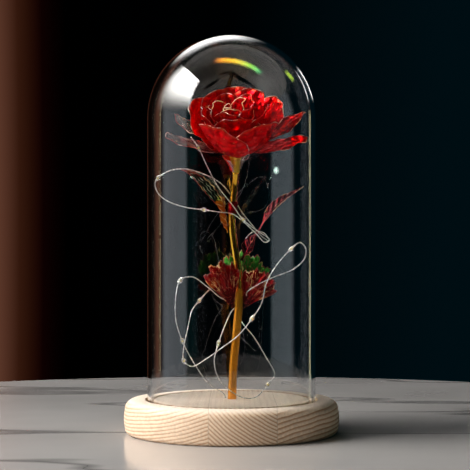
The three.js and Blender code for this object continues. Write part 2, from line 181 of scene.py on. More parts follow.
def rim_line(start: float, up_points: int, over_points: int) -> tuple[Array, Array]:
    """Follows the free rim of a film: up one side, over its far end and down the other side.

    Args:
        start: Where along the film the rim starts and ends.
        up_points: The number of points on each side.
        over_points: The number of points over the far end, its two corners included.

    Returns:
        The places s along the film and q across it.
    """
    up, over = np.linspace(start, 1, up_points), np.linspace(-1, 1, over_points)[1:-1]
    s = np.concatenate([up, np.ones(len(over)), up[::-1]])
    q = np.concatenate([-np.ones(len(up)), over, np.ones(len(up))])
    return s, q


def creases(s: Array, q: Array, seed: int, lines: float) -> Array:
    """Makes the relief of crumpled film: flat facets between sharp creases.

    Args:
        s: Place along the film, from 0 to 1.
        q: Place across it, from -1 to 1.
        seed: The seed of the creases' directions.
        lines: How many of the largest creases cross the film.

    Returns:
        The relief, between about -1 and 1.
    """
    random = np.random.default_rng(seed)
    relief = np.zeros_like(s)
    for finer, depth in CREASE_SIZES:
        for _ in range(2):
            angle, phase = random.uniform(0, math.pi), random.uniform(0, 1)
            bend = 0.12 * np.sin(5 * s + 3 * q + 6 * phase)
            across = (s * math.cos(angle) + 0.5 * q * math.sin(angle) + bend) * lines * finer
            relief += depth * ramps(across + phase) * 0.5
    return relief


# Meshes


def mesh_of(name: str, points: Array, faces: Sequence[Sequence[int]], uv: Array | None = None) -> Mesh:
    """Makes a smooth-shaded mesh.

    Args:
        name: The mesh's name.
        points: Its vertices in millimetres.
        faces: The vertex numbers of each face.
        uv: A texture place for each vertex, or None.

    Returns:
        The mesh, in metres.
    """
    mesh = bpy.data.meshes.new(name)
    mesh.from_pydata((points.reshape(-1, 3) * MM).tolist(), [], [list(map(int, face)) for face in faces])
    mesh.polygons.foreach_set("use_smooth", [True] * len(mesh.polygons))
    if uv is not None:
        corners = np.empty(len(mesh.loops), int)
        mesh.loops.foreach_get("vertex_index", corners)
        layer = mesh.uv_layers.new(name="Film")
        layer.uv.foreach_set("vector", uv[corners].astype(np.float32).ravel())
    mesh.update()
    return mesh


def crisp(mesh: Mesh) -> Mesh:
    """Keeps the shading of a mesh apart on both sides of every sharp edge, and returns the mesh."""
    mesh.set_sharp_from_angle(angle=math.radians(CRISP_ANGLE))
    return mesh


def grid_faces(rows: int, columns: int, start: int = 0) -> list[tuple[int, int, int, int]]:
    """Joins a grid of vertices, numbered row by row, in quads.

    Args:
        rows: The number of rows.
        columns: The number of vertices in each row.
        start: The number of the first vertex.

    Returns:
        The four vertex numbers of each quad.
    """
    return [
        (a, a + columns, a + columns + 1, a + 1)
        for i in range(rows - 1)
        for a in range(start + i * columns, start + i * columns + columns - 1)
    ]


def film(name: str, surface: Surface, along: int, across: int, thickness: float) -> Mesh:
    """Makes a closed thin film on a surface.

    Args:
        name: The mesh's name.
        surface: Gives a point for s from 0 to 1 along the film and q from -1 to 1 across it.
        along: The number of steps along.
        across: The number of steps across.
        thickness: The film's thickness in millimetres.

    Returns:
        The mesh, with its front, its back and its four rims.
    """
    s, q = np.meshgrid(np.linspace(0, 1, along + 1), np.linspace(-1, 1, across + 1), indexing="ij")
    middle = surface(s, q)
    normal = np.cross(np.gradient(middle, axis=0), np.gradient(middle, axis=1))
    normal /= np.maximum(np.linalg.norm(normal, axis=2, keepdims=True), 1e-9)
    points = np.concatenate([middle + normal * thickness / 2, middle - normal * thickness / 2])
    rows, columns = along + 1, across + 1
    back = rows * columns
    faces = grid_faces(rows, columns) + [face[::-1] for face in grid_faces(rows, columns, back)]
    for i in range(along):
        low, high = i * columns, (i + 1) * columns
        faces.append((high, low, back + low, back + high))
        faces.append((low + across, high + across, back + high + across, back + low + across))
    for j in range(across):
        last = along * columns + j
        faces.append((j, j + 1, back + j + 1, back + j))
        faces.append((last + 1, last, back + last, back + last + 1))
    uv = np.stack([s, (q + 1) / 2], axis=2).reshape(-1, 2)
    return crisp(mesh_of(name, points, faces, np.concatenate([uv, uv])))


def swept(name: str, path: Array, radius: Array, turned_by: Array | float = 0.0) -> Mesh:
    """Makes a closed bar along a path.

    Args:
        name: The mesh's name.
        path: The centres of its rings, in millimetres.
        radius: The distance of each of a ring's points from its centre, one row for each ring.
        turned_by: How far each ring is turned about the path, in radians.

    Returns:
        The mesh, with a face over each end.
    """
    rings, sides = radius.shape
    angle = np.linspace(0, 2 * math.pi, sides, endpoint=False)[None, :] + np.reshape(turned_by, (-1, 1))
    first, second = path_frames(path)
    spokes = np.cos(angle)[..., None] * first[:, None] + np.sin(angle)[..., None] * second[:, None]
    points = path[:, None] + spokes * radius[..., None]
    faces = []
    for ring in range(0, (rings - 1) * sides, sides):
        for j in range(sides):
            beside = (j + 1) % sides
            faces.append((ring + j, ring + beside, ring + sides + beside, ring + sides + j))
    faces += [tuple(range(sides))[::-1], tuple(range((rings - 1) * sides, rings * sides))]
    along = np.repeat(np.linspace(0, 1, rings), sides)
    around = np.tile(np.linspace(0, 1, sides, endpoint=False), rings)
    return mesh_of(name, points, faces, np.stack([along, around], axis=1))


def polyline(points: Array) -> Mesh:
    """Makes a mesh of edges alone.

    Args:
        points: The points that the edges join, in millimetres.

    Returns:
        The mesh, in metres.
    """
    mesh = bpy.data.meshes.new("line")
    edges = [(i, i + 1) for i in range(len(points) - 1)]
    mesh.from_pydata((np.asarray(points, float) * MM).tolist(), edges, [])
    return mesh


def box_of(low: Point, high: Point) -> tuple[Array, list[tuple[int, ...]]]:
    """Returns the points and the faces of a box between two corners."""
    points = np.array(list(product(*zip(low, high))))
    return points, [(0, 1, 3, 2), (4, 6, 7, 5), (0, 4, 5, 1), (2, 3, 7, 6), (1, 5, 7, 3), (0, 2, 6, 4)]


def object_of(name: str, mesh: Mesh, *materials: Material) -> Object:
    """Puts a mesh in the scene as an object at the origin.

    Args:
        name: The name of the object and of its mesh.
        mesh: The mesh.
        materials: The materials of its slots. Without any, it keeps those that it has.

    Returns:
        The object.
    """
    mesh.name = name
    thing = bpy.data.objects.new(name, mesh)
    bpy.context.scene.collection.objects.link(thing)
    if materials:
        slots = np.empty(len(mesh.polygons), np.int32)
        mesh.polygons.foreach_get("material_index", slots)
        mesh.materials.clear()
        for material in materials:
            mesh.materials.append(material)
        mesh.polygons.foreach_set("material_index", slots)
    return thing


def joined(first: Mesh, *others: Mesh) -> Mesh:
    """Joins meshes into one.

    Args:
        first: The mesh whose faces take the first of two material slots.
        others: The meshes whose faces take the second slot.

    Returns:
        The first mesh with the others in it, and with two empty slots.
    """
    slots = np.concatenate([np.full(len(mesh.polygons), i > 0) for i, mesh in enumerate((first, *others))])
    things = [object_of("part", mesh) for mesh in (first, *others)]
    for thing in things:
        thing.data.materials.clear()
        for layer in list(thing.data.uv_layers):
            layer.name = "Film"
    with bpy.context.temp_override(active_object=things[0], selected_editable_objects=things):
        bpy.ops.object.join()
    mesh = things[0].data
    for _ in range(2):
        mesh.materials.append(None)
    mesh.polygons.foreach_set("material_index", slots.astype(np.int32))
    bpy.data.objects.remove(things[0])
    return mesh


def cut(thing: Object, cutter: Object) -> None:
    """Cuts a piece.

    Args:
        thing: The piece.
        cutter: What is taken out of it. It has the piece's material, for the new faces, and is removed.
    """
    modifier = thing.modifiers.new("cut", "BOOLEAN")
    modifier.object = cutter
    modifier.operation = "DIFFERENCE"
    modifier.solver = "EXACT"
    with bpy.context.temp_override(object=thing, active_object=thing):
        bpy.ops.object.modifier_apply(modifier=modifier.name)
    bpy.data.objects.remove(cutter)
    crisp(thing.data)


def finished(thing: Object, slot: str, *nodes: str) -> Object:
    """Lets a piece ride on the one body.

    Args:
        thing: The piece.
        slot: The name of its material slot; not used.
        nodes: The solids that it stands for.

    Returns:
        The same piece.
    """
    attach(thing, "root")
    if nodes:
        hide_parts(*nodes)
    log.info("%s: %d faces", thing.name, len(thing.data.polygons))
    return thing


# Node trees


class Nodes:
    """A node tree that is put together node by node."""

    def __init__(self, tree: bpy.types.NodeTree) -> None:
        """Takes the tree that the nodes go into."""
        self.tree = tree

    def add(self, kind: str, values: Values | None = None, **settings: object) -> bpy.types.Node:
        """Adds a node.

        Args:
            kind: The node's type.
            values: A value or a result for each input, by the input's name or number.
            settings: The node's own settings.

        Returns:
            The node.
        """
        node = self.tree.nodes.new(kind)
        for key, value in settings.items():
            setattr(node, key, value)
        for key, value in (values or {}).items():
            if isinstance(value, Socket):
                self.link(value, node.inputs[key])
            else:
                node.inputs[key].default_value = value
        return node

    def link(self, result: Socket, place: Socket) -> None:
        """Links a result to an input."""
        self.tree.links.new(result, place)

    def math(self, operation: str, *terms: Socket | float) -> Socket:
        """Adds one arithmetic node and returns its result."""
        return self.add("ShaderNodeMath", dict(enumerate(terms)), operation=operation).outputs[0]

    def times(self, first: Socket | float, second: Socket | float) -> Socket:
        """Multiplies two values."""
        return self.math("MULTIPLY", first, second)

    def plus(self, first: Socket | float, second: Socket | float) -> Socket:
        """Adds two values."""
        return self.math("ADD", first, second)

    def minus(self, first: Socket | float, second: Socket | float) -> Socket:
        """Takes the second value from the first."""
        return self.math("SUBTRACT", first, second)

    def scaled(self, value: Socket, factor: Socket | float, start: Socket | float) -> Socket:
        """Multiplies a value by a factor and adds a start."""
        return self.math("MULTIPLY_ADD", value, factor, start)

    def off(self, value: Socket, middle: float) -> Socket:
        """Returns how far a value is from a middle."""
        return self.math("ABSOLUTE", self.minus(value, middle))

    def axes(self, vector: Socket) -> list[Socket]:
        """Returns the three parts of a vector."""
        return list(self.add("ShaderNodeSeparateXYZ", {0: vector}).outputs)

    def ramp(self, value: Socket, *stops: tuple[float, Colour | float]) -> Socket:
        """Turns a value into a colour.

        Args:
            value: The value.
            stops: Places from 0 to 1 with the colour or the grey at each, at least two of them.

        Returns:
            The colour.
        """
        node = self.add("ShaderNodeValToRGB", {0: value})
        elements = node.color_ramp.elements
        while len(elements) < len(stops):
            elements.new(0.5)
        for element, (place, colour) in zip(elements, stops):
            element.position = place
            element.color = (*colour, 1.0) if isinstance(colour, tuple) else (colour, colour, colour, 1.0)
        return node.outputs[0]


class Growth(Nodes):
    """A geometry node tree with named inputs, which makes a mesh from a line."""

    def __init__(self, name: str, sizes: dict[str, float], finishes: Sequence[str]) -> None:
        """Starts the tree.

        Args:
            name: The tree's name.
            sizes: Its number inputs and their first values; a whole number makes a whole-number input.
            finishes: The names of its material inputs.
        """
        super().__init__(bpy.data.node_groups.new(name, "GeometryNodeTree"))
        self.tree.is_modifier = True
        face = self.tree.interface
        face.new_socket("Line", in_out="INPUT", socket_type="NodeSocketGeometry")
        self.identifiers: dict[str, str] = {}
        for key, value in sizes.items():
            kind = "NodeSocketInt" if isinstance(value, int) else "NodeSocketFloat"
            socket = face.new_socket(key, in_out="INPUT", socket_type=kind)
            socket.default_value = value
            self.identifiers[key] = socket.identifier
        for key in finishes:
            socket = face.new_socket(key, in_out="INPUT", socket_type="NodeSocketMaterial")
            self.identifiers[key] = socket.identifier
        face.new_socket("Mesh", in_out="OUTPUT", socket_type="NodeSocketGeometry")
        self.inputs = self.add("NodeGroupInput").outputs
        self.outputs = self.add("NodeGroupOutput").inputs

    def bar(self, least: float, power: float) -> tuple[Socket, Socket]:
        """Sweeps a round section along the line, by the inputs Radius and Sides, thinner towards the ends.

        Args:
            least: The share of the radius that is left at the ends, before the power.
            power: How the bar thins: the lower, the blunter its ends.

        Returns:
            The line as a curve, and the bar's mesh.
        """
        curve = self.add("GeometryNodeMeshToCurve", {"Mesh": self.inputs["Line"]}).outputs[0]
        factor = self.add("GeometryNodeSplineParameter").outputs["Factor"]
        wave = self.math("SINE", self.times(factor, math.pi))
        width = self.math("POWER", self.math("MAXIMUM", wave, least), power)
        circle = {"Resolution": self.inputs["Sides"], "Radius": self.inputs["Radius"]}
        section = self.add("GeometryNodeCurvePrimitiveCircle", circle).outputs[0]
        values = {"Curve": curve, "Profile Curve": section, "Scale": width, "Fill Caps": True}
        return curve, self.add("GeometryNodeCurveToMesh", values).outputs[0]

    def close(self, mesh: Socket, finish: str) -> Socket:
        """Ends one strand of the tree in Realize Instances, smooth faces and Set Material.

        Args:
            mesh: The strand's mesh.
            finish: The name of the material input that it takes.

        Returns:
            The mesh in its material.
        """
        real = self.add("GeometryNodeRealizeInstances", {"Geometry": mesh}).outputs[0]
        round_it = self.add("GeometryNodeSetShadeSmooth", {"Geometry": real}).outputs[0]
        values = {"Geometry": round_it, "Material": self.inputs[finish]}
        return self.add("GeometryNodeSetMaterial", values).outputs[0]

    def grow(self, line: Mesh, values: dict[str, object]) -> Mesh:
        """Runs the tree on a line.

        Args:
            line: The mesh of edges that the tree starts from.
            values: The values of its named inputs.

        Returns:
            The plain mesh that the tree makes.
        """
        thing = bpy.data.objects.new("grown", line)
        bpy.context.scene.collection.objects.link(thing)
        modifier = thing.modifiers.new("grow", "NODES")
        modifier.node_group = self.tree
        for key, value in values.items():
            modifier[self.identifiers[key]] = value
        bpy.context.view_layer.update()
        ready = thing.evaluated_get(bpy.context.evaluated_depsgraph_get())
        mesh = bpy.data.meshes.new_from_object(ready)
        thing.modifiers.clear()
        bpy.data.objects.remove(thing)
        return mesh


class Turning(Growth):
    """Turns a profile, a line of points (radius, 0, height), once round Z into a closed body."""

    def __init__(self) -> None:
        """Builds the tree: a grid whose rows take the profile's points and whose columns go round."""
        super().__init__("Turned body", {"Facets": 96}, ["Finish"])
        profile, facets = self.inputs["Line"], self.inputs["Facets"]
        size = self.add("GeometryNodeAttributeDomainSize", {"Geometry": profile}, component="MESH")
        columns = self.plus(facets, 1.0)
        rows_and_columns = {"Vertices X": size.outputs[0], "Vertices Y": columns}
        grid = self.add("GeometryNodeMeshGrid", rows_and_columns).outputs[0]
        index = self.add("GeometryNodeInputIndex").outputs[0]
        row = self.math("FLOOR", self.math("DIVIDE", self.plus(index, 0.5), columns))
        column = self.minus(index, self.times(row, columns))
        own = self.add("GeometryNodeInputPosition").outputs[0]
        sample = self.add("GeometryNodeSampleIndex", {"Geometry": profile}, data_type="FLOAT_VECTOR")
        self.link(own, next(s for s in sample.inputs if s.name == "Value" and s.enabled))
        self.link(row, sample.inputs["Index"])
        radius, _, height = self.axes(next(s for s in sample.outputs if s.enabled))
        angle = self.times(self.math("DIVIDE", column, facets), -2 * math.pi)
        x = self.times(radius, self.math("COSINE", angle))
        y = self.times(radius, self.math("SINE", angle))
        place = self.add("ShaderNodeCombineXYZ", {0: x, 1: y, 2: height}).outputs[0]
        turned = self.add("GeometryNodeSetPosition", {"Geometry": grid, "Position": place}).outputs[0]
        merged = self.add("GeometryNodeMergeByDistance", {"Geometry": turned, "Distance": 1e-6}).outputs[0]
        self.link(self.close(merged, "Finish"), self.outputs["Mesh"])

    def turn(self, profile: Sequence[Pair], facets: int, finish: Material) -> Mesh:
        """Turns a profile of radius and height in millimetres, which has the body on its left."""
        line = polyline(np.array([(radius, 0, height) for radius, height in profile]))
        return crisp(self.grow(line, {"Facets": facets, "Finish": finish}))


class Bead(Growth):
    """Lays a thin round bead along a line, such as a film's sealed rim or a rib."""

    def __init__(self) -> None:
        """Builds the tree."""
        super().__init__("Bead along a line", {"Radius": 0.0001, "Sides": 6}, ["Finish"])
        _, bead = self.bar(0.02, 0.35)
        self.link(self.close(bead, "Finish"), self.outputs["Mesh"])

    def lay(self, line: Array, radius: float, finish: Material) -> Mesh:
        """Lays the bead along a line of points in millimetres."""
        return self.grow(polyline(line), {"Radius": radius * MM, "Finish": finish})


class Drop(Growth):
    """Casts a clear drop round a short stretch of wire, with the light's chip inside."""

    def __init__(self) -> None:
        """Builds the tree: a swollen bar along the line, and a small chip at its middle."""
        sizes = {"Radius": 0.00125, "Sides": 20, "Chip": 0.0005}
        super().__init__("Light drop", sizes, ["Clear finish", "Chip finish"])
        curve, clear = self.bar(0.01, 0.7)
        middle = self.add("GeometryNodeSampleCurve", {"Curves": curve, "Factor": 0.5}, mode="FACTOR")
        ball = {"Radius": self.inputs["Chip"], "Subdivisions": 2}
        chip = self.add("GeometryNodeMeshIcoSphere", ball).outputs[0]
        place = {"Geometry": chip, "Translation": middle.outputs["Position"]}
        put = self.add("GeometryNodeTransform", place).outputs[0]
        both = self.add("GeometryNodeJoinGeometry")
        self.link(self.close(put, "Chip finish"), both.inputs[0])
        self.link(self.close(clear, "Clear finish"), both.inputs[0])
        self.link(both.outputs[0], self.outputs["Mesh"])


# Finishes


class Shader(Nodes):
    """A node material with one Principled surface, put together node by node."""

    def __init__(self, name: str, plain: dict[str, object]) -> None:
        """Starts the material.

        Args:
            name: The material's name.
            plain: Values set straight on the surface's own sockets.
        """
        self.material = bpy.data.materials.new(name)
        self.material.use_nodes = True
        super().__init__(self.material.node_tree)
        self.surface = self.tree.nodes["Principled BSDF"]
        for key, value in plain.items():
            self.surface.inputs[key].default_value = (*value, 1.0) if isinstance(value, tuple) else value
        self.coordinates = self.add("ShaderNodeTexCoord").outputs

    def noise(self, scale: float, detail: float, stretch: Point = (1, 1, 1)) -> Socket:
        """Adds a noise in the object's own coordinates.

        Args:
            scale: Its waves for each metre.
            detail: How many finer sizes it has on top.
            stretch: How much of the scale each axis gets.

        Returns:
            The noise, between 0 and 1.
        """
        place = {"Vector": self.coordinates["Object"], "Scale": stretch}
        placed_at = self.add("ShaderNodeMapping", place).outputs[0]
        values = {"Vector": placed_at, "Scale": scale, "Detail": detail}
        return self.add("ShaderNodeTexNoise", values).outputs[0]

    def mix(self, factor: Socket | float, first: Socket | Colour, second: Socket | Colour) -> Socket:
        """Mixes two colours.

        Args:
            factor: How much of the second one shows.
            first: The first colour.
            second: The second colour.

        Returns:
            The mixed colour.
        """
        values: Values = {0: factor}
        for place, colour in ((6, first), (7, second)):
            values[place] = (*colour, 1.0) if isinstance(colour, tuple) else colour
        return self.add("ShaderNodeMix", values, data_type="RGBA").outputs[2]

    def facing(self) -> list[Socket]:
        """Returns how far the surface faces right, back and up."""
        return self.axes(self.add("ShaderNodeNewGeometry").outputs["Normal"])

    def set(self, key: str, value: Socket) -> None:
        """Links a result to one of the surface's sockets."""
        self.link(value, self.surface.inputs[key])

    def bump(self, height: Socket, distance: float, strength: float) -> None:
        """Adds fine relief on top of any that is there.

        Args:
            height: The relief, from 0 to 1.
            distance: How deep it is, in millimetres.
            strength: How much of it shows.
        """
        values: Values = {"Height": height, "Distance": distance * MM, "Strength": strength}
        socket = self.surface.inputs["Normal"]
        if socket.is_linked:
            values["Normal"] = socket.links[0].from_socket
        self.set("Normal", self.add("ShaderNodeBump", values).outputs[0])


@dataclass(frozen=True)
class PineFinish:
    """Sanded pine, glued up from three staves, with end grain at the front and fibres along Y.

    The growth rings run round a pith line along Y that is different in each stave. Upward faces are painted
    paler, as painted light from above, and a thin line of glue shows at each joint.
    """

    joints: Pair = (-11.6, 23.0)
    piths: tuple[Pair, ...] = ((-76.0, 184.0), (54.0, 74.0), (74.0, -178.0))
    rings: tuple[float, ...] = (1.85, 1.7, 2.35)
    shades: tuple[float, ...] = (1.0, 0.965, 1.02)
    wander: float = 1.4
    glue_width: float = 0.22
    early: Colour = (0.99, 0.79, 0.60)
    late: Colour = (0.47, 0.185, 0.045)
    # Painted light: the pale colour that upward faces are mixed towards, as if lit from above
    painted_top_light: Colour = (1.0, 0.88, 0.77)
    glue: Colour = (0.36, 0.24, 0.14)

    def make(self) -> Material:
        """Returns the material."""
        shader = Shader("pine", {"Roughness": 0.55, "Specular IOR Level": 0.35})
        x, _, z = shader.axes(shader.coordinates["Object"])
        up = shader.facing()[2]
        over = [shader.math("GREATER_THAN", x, joint * MM) for joint in self.joints]
        late = self.late_wood(shader, x, z, over)
        patch = shader.ramp(shader.noise(26, 2, (1, 0.3, 1)), (0.3, 0.65), (0.7, 1.0))
        strength = shader.times(patch, shader.ramp(up, (0.5, 1.0), (0.95, 0.4)))
        wood = shader.mix(shader.times(late, strength), self.early, self.late)
        fibre = shader.ramp(shader.noise(900, 4, (1, 0.04, 1)), (0.35, 0.86), (0.62, 1.05))
        grained = {0: 1.0, 6: wood, 7: fibre}
        fibrous = shader.add("ShaderNodeMix", grained, data_type="RGBA", blend_type="MULTIPLY")
        shade = {0: fibrous.outputs[2], "Scale": self.by_stave(shader, over, self.shades)}
        toned = shader.add("ShaderNodeVectorMath", shade, operation="SCALE").outputs[0]
        # Painted light: faces that point up are made paler, as if lit from above
        toned = shader.mix(shader.ramp(up, (0.6, 0.0), (0.95, 0.6)), toned, self.painted_top_light)
        half = self.glue_width / 2 * MM
        lines = [shader.math("LESS_THAN", shader.off(x, joint * MM), half) for joint in self.joints]
        glued = shader.times(shader.math("MAXIMUM", *lines), 0.55)
        shader.set("Base Color", shader.mix(glued, toned, self.glue))
        shader.bump(fibre, 0.05, 0.6)
        shader.bump(late, 0.05, 0.5)
        rough = shader.add("ShaderNodeMapRange", {0: fibre, 1: 0.8, 2: 1.1, 3: 0.62, 4: 0.5}).outputs[0]
        shader.set("Roughness", rough)
        return shader.material

    def by_stave(self, shader: Shader, over: Sequence[Socket], values: Sequence[float]) -> Socket:
        """Chooses among three values by stave.

        Args:
            shader: The material in the making.
            over: Whether a place is past each of the two joints.
            values: The value of each stave.

        Returns:
            The value of the stave that the place is in.
        """
        first = shader.scaled(over[0], values[1] - values[0], values[0])
        return shader.plus(first, shader.times(over[1], values[2] - values[1]))

    def late_wood(self, shader: Shader, x: Socket, z: Socket, over: Sequence[Socket]) -> Socket:
        """Draws the growth rings.

        Args:
            shader: The material in the making.
            x: The place to the right.
            z: The place upwards.
            over: Whether it is past each of the two joints.

        Returns:
            How much of the wood is dark late wood, from 0 to 1.
        """
        dx = shader.minus(x, self.by_stave(shader, over, [pith[0] * MM for pith in self.piths]))
        dz = shader.minus(z, self.by_stave(shader, over, [pith[1] * MM for pith in self.piths]))
        far = shader.math("SQRT", shader.plus(shader.times(dx, dx), shader.times(dz, dz)))
        wander = shader.times(shader.noise(30, 2, (1, 0.25, 1)), self.wander * MM)
        width = self.by_stave(shader, over, [ring * MM for ring in self.rings])
        count = shader.math("DIVIDE", shader.plus(far, wander), width)
        unequal = shader.times(shader.noise(120, 1, (1, 0.1, 1)), 0.5)
        ring = shader.math("FRACT", shader.plus(count, unequal))
        return shader.ramp(ring, (0.0, 0.08), (0.4, 0.12), (0.8, 0.85), (0.93, 1.0), (1.0, 0.08))


@dataclass(frozen=True)
class GlassFinish:
    """Clear polished glass or cast resin."""

    name: str
    tint: Colour = (1.0, 1.0, 1.0)
    roughness: float = 0.0
    ior: float = 1.5

    def make(self) -> Material:
        """Returns the material."""
        plain = {"Base Color": self.tint, "Roughness": self.roughness, "IOR": self.ior}
        return Shader(self.name, plain | {"Transmission Weight": 1.0}).material


class FilmTints(NamedTuple):
    """A petal film's two colours, its metal sheen, how clear it is and how much light spreads in it.

    The deep colour stands for painted shade towards each petal's foot, and also for random mottling.
    """

    deep: Colour
    bright: Colour
    metal: float
    clear: float
    spread: float


class FilmTone(Enum):
    """The films that the petals are made of."""

    RED = FilmTints((0.60, 0.0, 0.003), (1.0, 0.003, 0.010), metal=0.5, clear=0.3, spread=0.8)
    WINE = FilmTints((0.22, 0.0, 0.003), (0.50, 0.003, 0.008), metal=0.4, clear=0.6, spread=0.4)
    PALE = FilmTints((0.80, 0.30, 0.28), (0.94, 0.84, 0.80), metal=0.05, clear=0.95, spread=0.1)


@dataclass(frozen=True)
class PetalFinish:
    """Glossy film, yellower towards its rim.

    Its colour is darker towards the petal's foot as painted shade, mottled at random, and has small painted
    glints.
    """

    tone: FilmTone
    mirrored: Colour = (1.0, 0.03, 0.04)
    glint: Colour = (1.0, 0.50, 0.16)

    def make(self) -> Material:
        """Returns the material."""
        tints: FilmTints = self.tone.value
        shader = Shader(
            "petal_film_" + self.tone.name.lower(),
            {
                "Roughness": 0.09,
                "Metallic": tints.metal,
                "IOR": 1.38,
                "Transmission Weight": tints.clear,
                "Specular IOR Level": 0.07,
                "Specular Tint": self.mirrored,
                "Subsurface Weight": tints.spread,
                "Subsurface Radius": Vector((1.0, 0.12, 0.08)),
                "Subsurface Scale": 2 * MM,
            },
        )
        along = shader.axes(shader.coordinates["UV"])[0]
        # Painted shade: the film darkens towards the petal's foot, deep in the bloom, and a random patch
        # mottles it
        patch = shader.scaled(shader.noise(150, 3), 1.8, -0.75)
        depth = shader.plus(shader.times(along, 0.9), patch)
        colour = shader.mix(shader.ramp(depth, (0.15, 0.0), (0.8, 1.0)), tints.deep, tints.bright)
        # The rim turns yellower, and small noise spots of the same colour are painted glints
        rim = shader.ramp(along, (0.95, 0.0), (1.0, 0.22))
        glint = shader.ramp(shader.noise(420, 2), (0.70, 0.0), (0.73, 0.8))
        shader.set("Base Color", shader.mix(shader.math("MAXIMUM", rim, glint), colour, self.glint))
        cells = {0: shader.coordinates["Object"], "Scale": 260.0}
        facet = shader.add("ShaderNodeTexVoronoi", cells, feature="F1")
        shader.bump(facet.outputs["Distance"], 1.4, 0.8)
        shader.bump(shader.noise(420, 3), 0.5, 0.8)
        return shader.material


@dataclass(frozen=True)
class FunnelFinish:
    """The thin clear film of the funnel, tinted red on its left and its back."""

    clear: Colour = (1.0, 0.99, 0.98)
    red: Colour = (0.95, 0.03, 0.02)

    def make(self) -> Material:
        """Returns the material."""
        shader = Shader("funnel_film", {"Roughness": 0.05, "IOR": 1.18, "Transmission Weight": 1.0})
        across = shader.axes(shader.coordinates["UV"])[1]
        drift = shader.plus(across, shader.scaled(shader.noise(300, 2), 0.16, -0.08))
        tint = shader.ramp(drift, (0.06, self.red), (0.13, self.clear), (0.5, self.clear), (0.62, self.red))
        shader.set("Base Color", tint)
        clear = shader.ramp(drift, (0.08, 0.3), (0.14, 1.0), (0.5, 1.0), (0.62, 0.3))
        shader.set("Transmission Weight", clear)
        shader.bump(shader.noise(400, 2), 0.15, 0.5)
        return shader.material


class LeafTints(NamedTuple):
    """A leaf film's colours from its foot to its tip, and the colour of its rib lines."""

    foot: Colour
    low: Colour
    middle: Colour
    high: Colour
    tip: Colour
    rib: Colour


class LeafTone(Enum):
    """The films that the leaves are made of."""

    EMBER = LeafTints(
        (1.0, 0.34, 0.02), (1.0, 0.45, 0.04), (0.02, 0.07, 0.04), (0.03, 0.08, 0.05), (0.60, 0.03, 0.03),
        rib=(0.80, 0.95, 0.75),
    )
    WINE = LeafTints(
        (0.07, 0.001, 0.004), (0.11, 0.001, 0.005), (0.06, 0.001, 0.004), (0.13, 0.002, 0.006),
        (0.24, 0.004, 0.008), rib=(0.30, 0.02, 0.03),
    )
    FAN = LeafTints(
        (0.08, 0.0, 0.001), (0.16, 0.0, 0.001), (0.30, 0.0, 0.002), (0.40, 0.0, 0.003), (0.55, 0.006, 0.006),
        rib=(1.0, 0.50, 0.26),
    )
    MOSS = LeafTints(
        (0.12, 0.003, 0.01), (0.20, 0.006, 0.01), (0.20, 0.03, 0.01), (0.06, 0.34, 0.03), (0.10, 0.50, 0.05),
        rib=(0.55, 0.70, 0.15),
    )


@dataclass(frozen=True)
class LeafFinish:
    """Glossy metallic film whose colour changes from foot to tip.

    A long leaf has printed rib lines: slanting ones on its first leaflet, and lengthwise ones on the second
    where it asks for them. A fan leaf has fine curly lines and amber patches instead.
    """

    tone: LeafTone
    ribs: float = 0.0
    slant: float = 0.9
    lengthwise: bool = False
    places: tuple[float, ...] = (0.1, 0.36, 0.44, 0.78, 0.92)
    metal: float = 0.55
    clear: float = 0.3
    amber: Colour = (0.95, 0.26, 0.02)

    def make(self) -> Material:
        """Returns the material."""
        *tints, rib = self.tone.value
        film_values = {"Metallic": self.metal, "Roughness": 0.1, "Transmission Weight": self.clear}
        light_values = {"IOR": 1.4, "Specular IOR Level": 0.08}
        shader = Shader("leaf_film_" + self.tone.name.lower(), film_values | light_values)
        s, v, _ = shader.axes(shader.coordinates["UV"])
        drift = shader.plus(s, shader.scaled(shader.noise(220, 2), 0.3, -0.15))
        colour = shader.ramp(drift, *zip(self.places, tints))
        if self.ribs:
            lines = self.printed(shader, s, v)
            film_only = shader.scaled(lines, -0.95, 1.0)
            shader.set("Metallic", shader.times(film_only, self.metal))
            shader.set("Transmission Weight", shader.times(film_only, self.clear))
        else:
            lines = shader.ramp(shader.off(shader.noise(150, 2), 0.5), (0.0, 1.0), (0.008, 0.0))
            lines = shader.times(lines, shader.ramp(s, (0.2, 0.3), (0.6, 1.0)))
            patch = shader.ramp(shader.noise(95, 2), (0.66, 0.0), (0.72, 0.7))
            patch = shader.times(patch, shader.ramp(s, (0.4, 0.0), (0.75, 1.0)))
            colour = shader.mix(patch, colour, self.amber)
            shader.bump(lines, 0.3, 0.6)
            shader.set("Metallic", shader.scaled(lines, -0.4, 0.42))
        shader.set("Base Color", shader.mix(lines, colour, rib))
        shader.bump(shader.noise(380, 2), 0.25, 0.7)
        return shader.material

    def printed(self, shader: Shader, s: Socket, v: Socket) -> Socket:
        """Draws a long leaf's rib lines.

        Args:
            shader: The material in the making.
            s: The place along the leaf, from 0 to 1.
            v: The place across it, from 0 to 1.

        Returns:
            How much of a line is at the place.
        """
        aside = shader.math("ABSOLUTE", shader.scaled(v, 2.0, -1.0))
        place = shader.minus(shader.times(s, self.ribs), shader.times(aside, self.slant))
        slanting = self.lines(shader, place)
        if not self.lengthwise:
            return slanting
        straight = self.lines(shader, shader.times(shader.scaled(shader.noise(240, 1), 0.12, v), 7.0))
        second = shader.ramp(s, (0.38, 0.0), (0.44, 1.0))
        return shader.add("ShaderNodeMix", {0: second, 2: slanting, 3: straight}).outputs[0]

    def lines(self, shader: Shader, place: Socket) -> Socket:
        """Draws thin broken lines.

        Args:
            shader: The material in the making.
            place: A value that crosses a line at each whole step.

        Returns:
            How much of a line is at the place.
        """
        wave = shader.math("ABSOLUTE", shader.scaled(shader.math("FRACT", place), 2.0, -1.0))
        broken = shader.ramp(shader.noise(300, 2), (0.38, 0.15), (0.58, 1.0))
        return shader.times(shader.ramp(wave, (0.72, 0.0), (0.95, 1.0)), broken)


